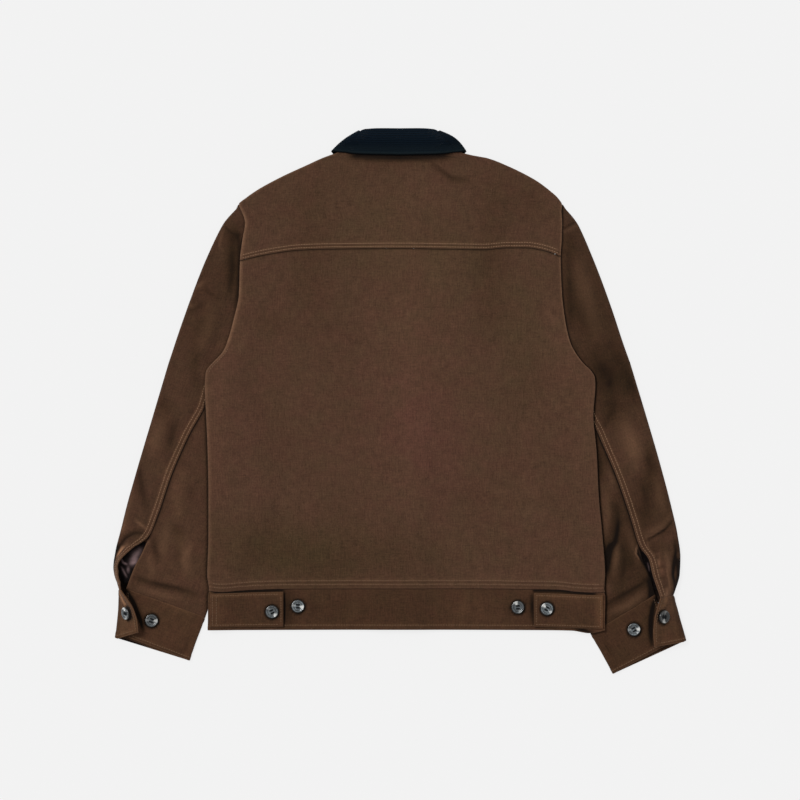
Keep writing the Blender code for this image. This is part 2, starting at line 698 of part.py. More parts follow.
def fold(outer, inward, base, end, radius, bulge, counts):
    """Cloth that runs out along the floor, turns up round a fold and comes back to an edge.

    outer is the fold's outermost point in plan and inward the way back from it. base is how far in the
    run starts, and end the edge's point in space.
    """
    start = np.array([*outer, 0.0]) + np.array([*inward, 0.0]) * CLOTH / 2
    to_end = end[:2] - start[:2]
    end_in = float(np.dot(to_end, inward))
    aside = to_end - end_in * inward
    centre_z = FLOOR_MID + radius
    run, rise = end_in - radius, end[2] - centre_z
    top = math.atan2(rise, run) + math.acos(min(1.0, radius / math.hypot(run, rise)))
    profile = [(h, FLOOR_MID, 0.0) for h in np.linspace(base, radius, counts[0] + 1)[:-1]]
    for angle in np.linspace(1.5 * math.pi, top, counts[1] + 1):
        profile.append((radius + radius * math.cos(angle), centre_z + radius * math.sin(angle), 0.0))
    from_h, from_z = profile[-1][:2]
    for w in np.linspace(0, 1, counts[2] + 1)[1:]:
        lift = 16 * bulge * (w * (1 - w)) ** 2
        profile.append((from_h + w * (end_in - from_h), from_z + w * (end[2] - from_z) + lift, w))
    points = []
    for h, z, w in profile:
        plan = start[:2] + inward * h + aside * w
        points.append((plan[0], plan[1], z))
    return np.array(points)


def sleeve_parts(row, closed):
    """The outer and inner points in plan, the way between them, and the seam's place on the floor side."""
    outer = np.array([row["outer_x"], row["outer_y"]])
    if closed:
        inner = np.array([row["inner_x"], row["inner_y"]])
    else:
        inner = np.array([row["edge_x"], row["edge_y"]])
    span = float(np.linalg.norm(inner - outer))
    return outer, inner, (inner - outer) / span, span


def upper_section(row, closed):
    outer, _, inward, span = sleeve_parts(row, closed)
    base = span * (FRONT_SEAM_SHARE if closed else 1.0) - CLOTH / 2
    end = np.array([row["edge_x"], row["edge_y"], row["edge_z"]])
    end[:2] -= inward * SEAM / 2
    return fold(outer, inward, base - SEAM / 2, end, row["round"], SLEEVE_BULGE, (3, 4, 4))


def under_section(row):
    outer, inner, inward, span = sleeve_parts(row, True)
    base = span * (1 - FRONT_SEAM_SHARE) - CLOTH / 2
    end = np.array([row["under_x"], row["under_y"], row["under_z"]])
    end[:2] += inward * SEAM / 2
    return fold(inner, -inward, base - SEAM / 2, end, INNER_FOLD, 0.0, (2, 3, 4))


def cuff_section(row):
    outer, inner, inward, span = sleeve_parts(row, True)
    flap_end = np.array([row["edge_x"], row["edge_y"], row["edge_z"]])
    under_end = np.array([row["under_x"], row["under_y"], row["under_z"]])
    near = fold(inner, -inward, span / 2, under_end, INNER_FOLD, 0.0, (2, 3, 5))
    far = fold(outer, inward, span / 2, flap_end, row["round"], 0.0, (2, 4, 4))
    return np.concatenate([near[::-1], far[1:]])


def make_sleeves():
    open_rows = (0, 1, 1.5, 2, 3, 4, 5)
    closed_rows = (6, 7, 8, 9, 10, 11, 12, 13, 14)
    cuffs = {}
    for side, rows, cuff in (("left", SLEEVE_LEFT, CUFF_LEFT), ("right", SLEEVE_RIGHT, CUFF_RIGHT)):
        upper = [upper_section(between(rows, k), False) for k in open_rows]
        upper += [upper_section(row_of(rows, k), True) for k in closed_rows]
        wall("sleeve_upper_" + side, upper, CANVAS)
        wall("sleeve_under_" + side, [under_section(row_of(rows, k)) for k in closed_rows], CANVAS)
        first = row_of(rows, -1)
        second = row_of(cuff, 0)
        for part in ("outer", "edge", "under", "inner"):
            names = (part + "_x", part + "_y")
            step = unit([second[name] - first[name] for name in names]) * 2 * SEAM
            for name, moved in zip(names, step):
                first[name] += moved
        sections = [cuff_section(first)] + [cuff_section(row_of(cuff, k)) for k in range(3)]
        cuffs[side] = np.array(sections)
        wall("cuff_" + side, sections, CANVAS_DARK)
    return cuffs


def make_linings():
    """The satin that shows in each open sleeve slit, lying crumpled on the sleeve's floor side."""
    floor = CLOTH + SEAM + LINING / 2
    for side, rows in (("left", SLEEVE_LEFT), ("right", SLEEVE_RIGHT)):
        grid = []
        for place in LINING_PLACES:
            row = between(rows, place)
            outer, _, inward, _ = sleeve_parts(row, True)
            edge = np.array([row["edge_x"], row["edge_y"]]) - inward * LINING_OVER
            under = np.array([row["under_x"], row["under_y"]]) + inward * LINING_UNDER
            reach = float(np.dot(edge - outer, inward))
            edge += inward * max(0.0, LINING_LEAST - reach)
            line = []
            for u in np.linspace(0, 1, 6):
                plan = edge + u * (under - edge)
                crumple = math.sin(math.pi * min(1.0, 2.5 * u)) ** 2 * math.sin(place * 2.2) ** 2
                line.append((plan[0], plan[1], floor + LINING_CRUMPLE * crumple))
            grid.append(line)
        wall("sleeve_lining_" + side, grid, SATIN, LINING)


# ---- buttons ----

def button(name, centre, normal):
    """A turned button with a raised rim, standing on centre and facing along normal."""
    profile = ((0.96, 0.0), (1.0, 0.45), (0.95, 1.0), (0.76, 1.0), (0.66, 0.75))
    normal = unit(normal)
    side = unit(np.cross(normal, (0.0, 1.0, 0.13)))
    other = np.cross(normal, side)
    points, faces = [], []
    for reach, height in profile:
        for k in range(BUTTON_SIDES):
            angle = 2 * math.pi * k / BUTTON_SIDES
            around = side * math.cos(angle) + other * math.sin(angle)
            points.append(centre + around * reach * BUTTON_RADIUS + normal * height * BUTTON_HEIGHT)
    for ring in range(len(profile) - 1):
        for k in range(BUTTON_SIDES):
            a, b = ring * BUTTON_SIDES + k, ring * BUTTON_SIDES + (k + 1) % BUTTON_SIDES
            faces.append((a, b, b + BUTTON_SIDES, a + BUTTON_SIDES))
    faces.append(tuple(range(BUTTON_SIDES))[::-1])
    last = (len(profile) - 1) * BUTTON_SIDES
    faces.append(tuple(last + k for k in range(BUTTON_SIDES)))
    made = add_object(name, points, faces, HORN)
    made.data.shade_smooth()
    made.data.set_sharp_from_angle(angle=math.radians(35))
    return made


def nearest(grid, x, y):
    """The point of a grid nearest to x, y in plan, the upper one where it is folded, and its upward normal."""
    grid = np.asarray(grid, float)
    normals = grid_normals(grid)
    parts = np.linspace(0, 1, 21)
    a, b = (side.ravel()[:, None] for side in np.meshgrid(parts, parts))
    weights = ((0, 0, (1 - a) * (1 - b)), (0, 1, (1 - a) * b), (1, 0, a * (1 - b)), (1, 1, a * b))
    best = (math.inf, None, None)
    for i in range(grid.shape[0] - 1):
        for j in range(grid.shape[1] - 1):
            points = sum(grid[i + p, j + q] * w for p, q, w in weights)
            score = np.hypot(points[:, 0] - x, points[:, 1] - y) - UPPER_SHARE * points[:, 2]
            k = int(np.argmin(score))
            if score[k] < best[0]:
                best = (score[k], points[k], unit(sum(normals[i + p, j + q] * w[k] for p, q, w in weights)))
    normal = best[2] if best[2][2] > 0 else -best[2]
    return best[1], normal


def seat(grid, x, y, away):
    """The centre of a button's back, at some distance from a grid and its middle over x, y, and its normal."""
    _, normal = nearest(grid, x, y)
    aside = normal[:2] * (away + BUTTON_HEIGHT / 2)
    point, normal = nearest(grid, x - aside[0], y - aside[1])
    return point + normal * away, normal


def make_buttons(cuffs, tabs, band):
    for k in range(FRONT_BUTTONS):
        y = FRONT_BUTTON_TOP - k * FRONT_BUTTON_PITCH
        button(f"front_button_{k + 1}", np.array([0.0, y, BUTTON_HEIGHT]), (0, 0, -1))
    for name, place in WAIST_BUTTONS.items():
        thickness = TAB_CLOTH if "tab" in name else CLOTH
        grid = tabs[name.rsplit("_", 1)[1]] if "tab" in name else band
        button(name, *seat(grid, *place, thickness / 2 + BUTTON_CLEAR))
    for side, grid in cuffs.items():
        near, flap = grid[:, :7], grid[:, -6:]
        button("cuff_button_" + side, *seat(near, *CUFF_BUTTONS[side], CLOTH / 2 + BUTTON_CLEAR))
        button("cuff_flap_button_" + side, *seat(flap, *FLAP_BUTTONS[side], CLOTH / 2 + FLAP_CLEAR[side]))


def main():
    for leftover in list(bpy.data.objects):
        bpy.data.objects.remove(leftover)
    make_back()
    make_yoke()
    make_fronts()
    make_plackets()
    band = make_waistbands()
    tabs = make_tabs(band)
    make_collar()
    cuffs = make_sleeves()
    make_linings()
    make_buttons(cuffs, tabs, band)


main()
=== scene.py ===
"""A brushed-canvas work jacket laid flat on its front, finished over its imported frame.

Laid out as an add-on, and run as a script. Tables and plain numbers are in millimetres unless a
name says otherwise, and the meshes are made in metres. X runs to the wearer's right, Y towards the
collar, Z up.
"""

import math

import bpy
import numpy as np
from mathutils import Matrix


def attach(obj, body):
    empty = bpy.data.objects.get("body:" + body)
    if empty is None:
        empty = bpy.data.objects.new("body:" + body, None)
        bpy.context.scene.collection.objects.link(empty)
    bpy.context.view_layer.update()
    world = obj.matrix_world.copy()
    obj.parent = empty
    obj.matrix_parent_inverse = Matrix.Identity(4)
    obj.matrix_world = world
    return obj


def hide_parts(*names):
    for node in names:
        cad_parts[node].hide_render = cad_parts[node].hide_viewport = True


bl_info = {
    "name": "Canvas work jacket",
    "version": (1, 0, 0),
    "blender": (4, 5, 0),
    "location": "3D View > Sidebar > Jacket",
    "description": "Makes the cloth, stitching, buttons and stage of a flat-laid work jacket",
    "category": "Object",
}

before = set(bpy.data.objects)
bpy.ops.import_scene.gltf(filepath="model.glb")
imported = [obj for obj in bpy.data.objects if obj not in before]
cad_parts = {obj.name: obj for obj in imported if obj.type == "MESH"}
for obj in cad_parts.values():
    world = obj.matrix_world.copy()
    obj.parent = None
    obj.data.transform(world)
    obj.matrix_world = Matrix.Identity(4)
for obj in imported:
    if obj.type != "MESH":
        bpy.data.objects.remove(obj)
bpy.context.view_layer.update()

MM = 0.001

# ---- the frame's own sizes and tables ----

CLOTH = 2.4
CORDUROY = 2.2
LINING = 1.0
TAB_CLOTH = 2.0
SEAM = 0.4
LAYER = CLOTH + SEAM
FLOOR_MID = CLOTH / 2
SLEEVE_STACK = 6.6
SLEEVE_RAMP = 45.0
PAST_FOLD = 8.0
COLLAR_STACK = 2.9
BUTTON_ROOM = 3.2
PLACKET_HALF = 19.0
PLACKET_RAMP = 45.0
PLACKET_TOP = 256.0
BACK_LOFT = 1.0
ARMHOLE_RISE = 2.8
NECK_SAG = 3.0
EDGE_RADIUS = 2.0
NECK_GAP = 1.0
FRONT_INSET = 9.0
# Near the armpit the front's edge is let out by so much, about a height, and fades over a distance.
ARMPIT_OUT, ARMPIT_LEVEL, ARMPIT_FADE = 1.7, 65.0, 7.0
ARMPIT_Y = 50.0
SHOULDER_Y = 271.0
BUTTON_HEIGHT = 2.9
LOWEST_CLOTH, LOWEST_THREAD = 0.06, 0.005  # the flat underside


def table(names, *rows):
    return dict(zip(names.split(), np.array(rows, float).T))


BODY = table(
    "y left right",
    (-325, -269.3, 286.9), (-273, -269.3, 287.9), (-262, -267.3, 285.9), (-243, -270.3, 287.4),
    (-190, -268.7, 283.9), (-132, -268.7, 278.5), (-70, -269.8, 275.5), (-20, -271.8, 271.2),
    (22, -273.6, 274), (34, -272.8, 272.7), (43, -271.3, 267.5), (53, -263.3, 257),
             (70, -247.8, 244.6),
    (84, -241.8, 238.1), (113, -233.6, 231.6), (150, -225.8, 227.1), (202, -224, 225.2),
    (227, -220.7, 226.7), (250, -217.2, 227.2), (268, -222.8, 226.2), (276, -226.5, 227.6),
    (284, -217.7, 223), (295, -202.3, 211), (307, -181, 195), (318, -159, 176), (329, -135, 153),
    (340, -111, 124), (343.5, -101, 103.5), (346.5, -91.5, 89.5), (352, -87, 84), (359, -78, 75),
)
YOKE_SEAM = table("x y", (-222, 197.5), (-197, 203.6), (-169, 208.6), (-142, 212), (-100, 213.4),
                  (0, 214.2), (118, 212.8), (150, 215.3), (177, 215.3), (197, 212.4), (225, 203.6))
WAIST_SEAM = table("x y", (-269, -265), (-250, -267), (-223, -264.8), (-200, -263.6),
                   (-163, -262.6),
                   (-100, -262.2), (0, -262), (100, -262), (186, -263), (222, -263.5),
                   (250, -266.5),
                   (274, -267.5), (288, -267))
HEM = table("x y", (-268, -320), (0, -319.3), (200, -320), (240, -320.5), (265, -324), (288, -320))

# Roll line and fall edge of the collar from the centre back round the neck, and how far it has gone
# round.
COLLAR = table(
    "roll_x roll_y fall_x fall_y turn",
    (0, 380.4, 0, 344.2, 0), (20, 380.4, 22, 344.6, 0), (36, 380.2, 44, 345, 0),
    (47, 379.2, 64, 346.2, 0), (53, 376.8, 78, 348.2, 0), (53.8, 375, 87, 347, 40),
    (53.8, 373.8, 89.5, 345.5, 90), (54.2, 373, 89, 345, 150), (55, 371.5, 92, 341, 180),
    (64, 345, 104, 318, 180), (62, 322, 106, 286, 180), (46, 299, 94, 252, 180),
    (28, 286, 80, 230, 180), (13, 279, 62, 213, 180),
)
COLLAR_MID_Z = 5.85
FALL_REACH = 4.75
STAND_REACH = 1.9
ROLL_RADIUS = (FALL_REACH - STAND_REACH) / 2
STAND_WIDTH = 24.0
LEFT_COLLAR_STRETCH = 1.04
CORNER_SWELL = {"left": 2.4, "right": 4.8}

# Sleeves from the shoulder to the cuff seam: the outer fold, the upper sleeve's edge, the under
# sleeve's edge, the inner fold, and the outer fold's radius. Then the cuffs, with the same columns.
SLEEVE_NAMES = "outer_x outer_y edge_x edge_y edge_z under_x under_y under_z inner_x inner_y round"
SLEEVE_LEFT = table(
    SLEEVE_NAMES,
    (-226.4, 275.8, -214, 272.5, 4.0, 0, 0, 4.0, 0, 0, 1.2),
    (-229, 270, -215, 266, 4.0, 0, 0, 4.0, 0, 0, 1.5),
    (-245.7, 250.6, -209, 250, 4.0, 0, 0, 4.0, 0, 0, 2.0),
    (-272, 197.5, -215.7, 194.6, 4.0, 0, 0, 4.0, 0, 0, 2.6),
    (-298.9, 127.4, -224, 116, 4.0, 0, 0, 4.0, 0, 0, 2.6),
    (-312.5, 88.2, -236, 77, 5.4, 0, 0, 4.0, 0, 0, 2.6),
    (-318.5, 70, -253.4, 54, 5.7, 0, 0, 4.0, 0, 0, 2.6),
    (-324.1, 53.2, -263, 33, 4.9, -261.5, 32.2, 4.9, -247, 26, 2.6),
    (-335.3, 15.4, -272.3, -4.2, 4.2, -272.3, -4.2, 4.2, -229, -18.2, 2.6),
    (-348.6, -29.4, -295.4, -47.6, 4.8, -295.4, -47.6, 4.8, -208, -77, 2.6),
    (-366.1, -88.2, -319.9, -103.6, 5.2, -319.9, -103.6, 5.2, -211.4, -140, 2.6),
    (-381.5, -142.8, -338.1, -157.5, 5.6, -338.1, -157.5, 5.4, -228.9, -194.6, 2.6),
    (-390.6, -179.2, -351.9, -189.5, 7.0, -351.5, -189.5, 5.5, -241.5, -226.8, 3.0),
    (-398.3, -210, -375.9, -207.2, 15.0, -360.5, -210, 5.5, -254.1, -250.6, 4.0),
    (-401.1, -232.4, -394.1, -231, 22.0, -372.4, -233.1, 5.5, -262.5, -273, 5.0),
    (-393.4, -263.2, -389.2, -262.5, 30.0, -383.5, -261.8, 5.5, -272.3, -301.7, 5.0),
)
SLEEVE_RIGHT = table(
    SLEEVE_NAMES,
    (227.9, 275.8, 217.5, 272.5, 4.0, 0, 0, 4.0, 0, 0, 1.2),
    (231.5, 270, 219.2, 266, 4.0, 0, 0, 4.0, 0, 0, 1.5),
    (247.1, 250.6, 219.1, 250, 4.0, 0, 0, 4.0, 0, 0, 2.0),
    (272.3, 194.6, 217.2, 194.6, 4.0, 0, 0, 4.0, 0, 0, 2.6),
    (298.2, 124.6, 222.3, 116, 4.0, 0, 0, 4.0, 0, 0, 2.6),
    (309.5, 90, 232.5, 77, 5.4, 0, 0, 4.0, 0, 0, 2.6),
    (316, 71, 248.2, 54, 5.6, 0, 0, 4.0, 0, 0, 2.6),
    (322, 54.6, 264.2, 33, 4.9, 262.7, 32.2, 4.9, 247, 26.6, 2.6),
    (333.9, 15.4, 261.8, -7.7, 4.0, 261.8, -7.7, 4.0, 227.5, -18.9, 2.6),
    (346.5, -26.6, 277.9, -46.9, 4.2, 277.9, -46.9, 4.2, 209.3, -71.4, 2.6),
    (364, -86.8, 303.1, -106.4, 4.8, 303.1, -106.4, 4.8, 210.7, -137.2, 2.6),
    (379.4, -145.6, 322.7, -163.8, 5.4, 322.7, -163.8, 5.2, 231.7, -196, 2.6),
    (388.5, -186.2, 334.6, -202, 7.0, 334.4, -202, 5.5, 248.5, -231, 3.0),
    (392.4, -217, 347.7, -221.6, 12.0, 340.6, -224, 5.5, 256.9, -254.8, 4.0),
    (391.3, -240.8, 352.7, -242.9, 18.0, 349.6, -243.6, 5.5, 263.9, -280, 5.0),
    (382.6, -270.2, 363.0, -274.4, 26.0, 357.0, -270.2, 5.5, 266.7, -324.8, 5.0),
)
CUFF_LEFT = table(
    SLEEVE_NAMES,
    (-394.1, -287, -371.0, -291.2, 31.0, -384, -288, 5.5, -282.8, -330.4, 5.0),
    (-396, -309, -366.4, -307, 28.0, -382, -310, 5.5, -289, -347, 5.0),
    (-398.6, -330.4, -365.0, -322, 22.0, -379, -330.5, 5.5, -294.7, -362.6, 5.0),
)
CUFF_RIGHT = table(
    SLEEVE_NAMES,
    (391, -300, 355, -302.4, 29.0, 367.5, -305, 5.5, 281, -350, 5.0),
    (396, -318, 353.4, -323, 25.0, 369.5, -326, 5.5, 290, -366.5, 5.0),
    (400.3, -334.3, 355, -343, 20.0, 371, -342, 5.5, 298.1, -381.2, 5.0),
)
SLEEVES = {"left": (SLEEVE_LEFT, CUFF_LEFT), "right": (SLEEVE_RIGHT, CUFF_RIGHT)}
ARMPIT_ROW = 7
CUFF_ROW = 15
FRONT_SEAM_SHARE = 0.75
PUFF = ((0, 1, 3, 5, 7, 9, 11, 13, 15), (0.0, 1.5, 4.5, 4.0, 2.4, 2.4, 2.0, 1.0, 0.5))
INNER_FOLD = 1.4

TABS = {
    "left": dict(seam=-265.8, end=-163.1, top_seam=-268.6, top_end=-266, foot_seam=-316,
                 foot_end=-315),
    "right": dict(seam=284, end=187.2, top_seam=-271.2, top_end=-267.6, foot_seam=-318,
                  foot_end=-315),
}
TAB_END_LIFT = 2.0


def smoothstep(t):
    t = np.clip(t, 0.0, 1.0)
    return t * t * (3 - 2 * t)


def curve(knots, values):
    """A smooth curve through the values that never overshoots them."""
    knots, values = np.asarray(knots, float), np.asarray(values, float)
    step = np.diff(knots)
    rise = np.diff(values) / step
    slope = np.empty_like(values)
    slope[0], slope[-1] = rise[0], rise[-1]
    product = rise[:-1] * rise[1:]
    total = rise[:-1] + rise[1:]
    slope[1:-1] = np.where(product > 0, 2 * product / np.where(total == 0, 1, total), 0)

    def at(t):
        t = np.clip(np.asarray(t, float), knots[0], knots[-1])
        k = np.clip(np.searchsorted(knots, t, side="right") - 1, 0, len(step) - 1)
        s = (t - knots[k]) / step[k]
        return ((1 + 2 * s) * (1 - s) ** 2 * values[k] + s * (1 - s) ** 2 * step[k] * slope[k]
                + s * s * (3 - 2 * s) * values[k + 1] + s * s * (s - 1) * step[k] * slope[k + 1])

    return at


outline = {"left": curve(BODY["y"], BODY["left"]), "right": curve(BODY["y"], BODY["right"])}
yoke_seam = curve(YOKE_SEAM["x"], YOKE_SEAM["y"])
waist_seam = curve(WAIST_SEAM["x"], WAIST_SEAM["y"])
hem_line = curve(HEM["x"], HEM["y"])


def inner_fold(rows, cuff):
    y = np.append(rows["inner_y"][ARMPIT_ROW:], cuff["inner_y"][:1])
    x = np.append(rows["inner_x"][ARMPIT_ROW:], cuff["inner_x"][:1])
    return curve(y[::-1], x[::-1])


fold_left = inner_fold(SLEEVE_LEFT, CUFF_LEFT)
fold_right = inner_fold(SLEEVE_RIGHT, CUFF_RIGHT)


# ---- heights of the layers, as in the frame ----

def over_sleeves(x, y):
    left = smoothstep((fold_left(y) + PAST_FOLD + SLEEVE_RAMP - x) / SLEEVE_RAMP)
    right = smoothstep((x - fold_right(y) + PAST_FOLD + SLEEVE_RAMP) / SLEEVE_RAMP)
    fade = 1 - smoothstep((y - ARMPIT_Y) / SLEEVE_RAMP)
    return SLEEVE_STACK * np.maximum(left, right) * fade


def under_front(x, y):
    q = np.hypot(x / 118.0, (330.0 - y) / 140.0)
    return np.maximum(over_sleeves(x, y), COLLAR_STACK * smoothstep((1.55 - q) / 0.37))


def left_height(x, y):
    ramp = smoothstep((x + PLACKET_HALF + PLACKET_RAMP) / PLACKET_RAMP)
    return FLOOR_MID + np.maximum(under_front(x, y), BUTTON_ROOM * ramp)


def right_height(x, y):
    ramp = smoothstep((PLACKET_HALF + PLACKET_RAMP - x) / PLACKET_RAMP)
    return FLOOR_MID + np.maximum(under_front(x, y), (BUTTON_ROOM + LAYER) * ramp)


FRONT_HEIGHT = {"left": left_height, "right": right_height}


def neck_sag(x, y):
    return NECK_SAG * smoothstep(1 - np.abs(x) / 55.0) * smoothstep((y - 265.0) / 60.0)


def back_height(x, y):
    middle = smoothstep((PLACKET_HALF + PLACKET_RAMP - np.abs(x)) / PLACKET_RAMP)
    middle = middle * (1 - smoothstep((y - PLACKET_TOP - 6) / 40.0))
    under = np.maximum(under_front(x, y), (BUTTON_ROOM + LAYER) * middle)
    air = BACK_LOFT + 0.5 * np.sin(x / 62.0 + 0.8) * np.sin(y / 75.0 + 0.4)
    air = air * (1 - 0.6 * smoothstep((y - 300.0) / 35.0))
    inside = np.minimum(x - outline["left"](y), outline["right"](y) - x)
    beside_sleeve = smoothstep((y - 20) / 30.0) * (1 - smoothstep((y - SHOULDER_Y) / 25.0))
    rise = ARMHOLE_RISE * smoothstep(1 - inside / 45.0) * beside_sleeve
    return FLOOR_MID + LAYER + under + air + rise - neck_sag(x, y)


# ---- cloth ----

STEP = 3.3  # between the lines of a cloth's mesh
SLEEVE_STEP = 2.3
FRONT_STEP = 4.6
CLOSE = 1.1  # between them beside a sewn seam
BESIDE_SEAM = 13.2


def unit(v):
    v = np.asarray(v, float)
    return v / np.maximum(np.linalg.norm(v, axis=-1, keepdims=True), 1e-9)


def lines(start, end, step=STEP, close_start=0.0, close_end=0.0):
    """Places from start to end a step apart, and closer within close_start and close_end of its
    ends."""
    a, b = start + close_start, end - close_end
    middle = np.linspace(a, b, max(2, int(round((b - a) / step)) + 1))
    first = start + np.arange(0, close_start, CLOSE)
    last = end - np.arange(0, close_end, CLOSE)[::-1]
    return np.concatenate([first[first < a - 0.3], middle, last[last > b + 0.3]])


def ripple(s, period, seed):
    """An uneven wave along s, between about -1 and 1, with the period as its usual length."""
    random = np.random.default_rng(seed)
    s = np.asarray(s, float)
    total = np.zeros_like(s)
    for share in (0.61, 0.83, 1.07, 1.46, 2.1):
        total += np.sin(2 * math.pi * s / (period * share)
                        + random.uniform(0, 2 * math.pi)) * random.uniform(0.3, 0.6)
    return total / 1.6


def undulation(x, y, size, seed, count=9):
    """Soft uneven swells over a cloth, between about -1 and 1, with size as their usual width."""
    random = np.random.default_rng(seed)
    total = np.zeros_like(np.asarray(x, float))
    for _ in range(count):
        angle = random.uniform(0, math.pi)
        length = size * random.uniform(0.7, 1.9)
        way = x * math.cos(angle) + y * math.sin(angle)
        total += np.sin(2 * math.pi * way / length + random.uniform(0, 2 * math.pi))
    return total / (0.75 * count ** 0.5 * 2)


def creases(x, y, folds):
    """The height that soft folds add. A fold is a path, its widths to the left and right of it, and
    its height."""
    total = np.zeros_like(x)
    for path, widths, height in folds:
        path = np.asarray(path, float)
        lengths = np.linalg.norm(np.diff(path, axis=0), axis=1)
        whole = lengths.sum()
        nearest = np.full_like(x, np.inf)
        place, aside = np.zeros_like(x), np.zeros_like(x)
        run = 0.0
        for a, b, length in zip(path[:-1], path[1:], lengths):
            way = (b - a) / length
            along = (x - a[0]) * way[0] + (y - a[1]) * way[1]
            held = np.clip(along, 0, length)
            dx, dy = x - a[0] - held * way[0], y - a[1] - held * way[1]
            distance = np.hypot(dx, dy)
            closer = distance < nearest
            nearest = np.where(closer, distance, nearest)
            place = np.where(closer, (run + held) / whole, place)
            aside = np.where(closer, way[0] * dy - way[1] * dx, aside)
            run += length
        width = np.where(aside > 0, widths[0], widths[1])
        swell = 0.35 + 0.65 * np.sin(math.pi * np.clip(place, 0.02, 0.98)) ** 0.7
        total += height * swell * np.exp(-(nearest / width) ** 2)
    return total


def normals_of(grid):
    across = np.gradient(grid, axis=1, edge_order=2)
    along = np.gradient(grid, axis=0, edge_order=2)
    return unit(np.cross(across, along))


def bordered(grid):
    """The grid with two more lines close inside each edge, where the wall is rounded."""
    for axis in (0, 1):
        grid = np.moveaxis(grid, axis, 0)

        def inside(edge, inner, distance, most):
            way = inner - edge
            length = np.maximum(np.linalg.norm(way, axis=-1, keepdims=True), 1e-6)
            return (edge + way * np.minimum(distance / length, most))[None]

        grid = np.concatenate([
            grid[:1], inside(grid[0], grid[1], 0.3, 0.2), inside(grid[0], grid[1], 0.9, 0.6),
                               grid[1:-1],
            inside(grid[-1], grid[-2], 0.9, 0.6), inside(grid[-1], grid[-2], 0.3, 0.2), grid[-1:],
        ])
        grid = np.moveaxis(grid, 0, axis)
    return grid


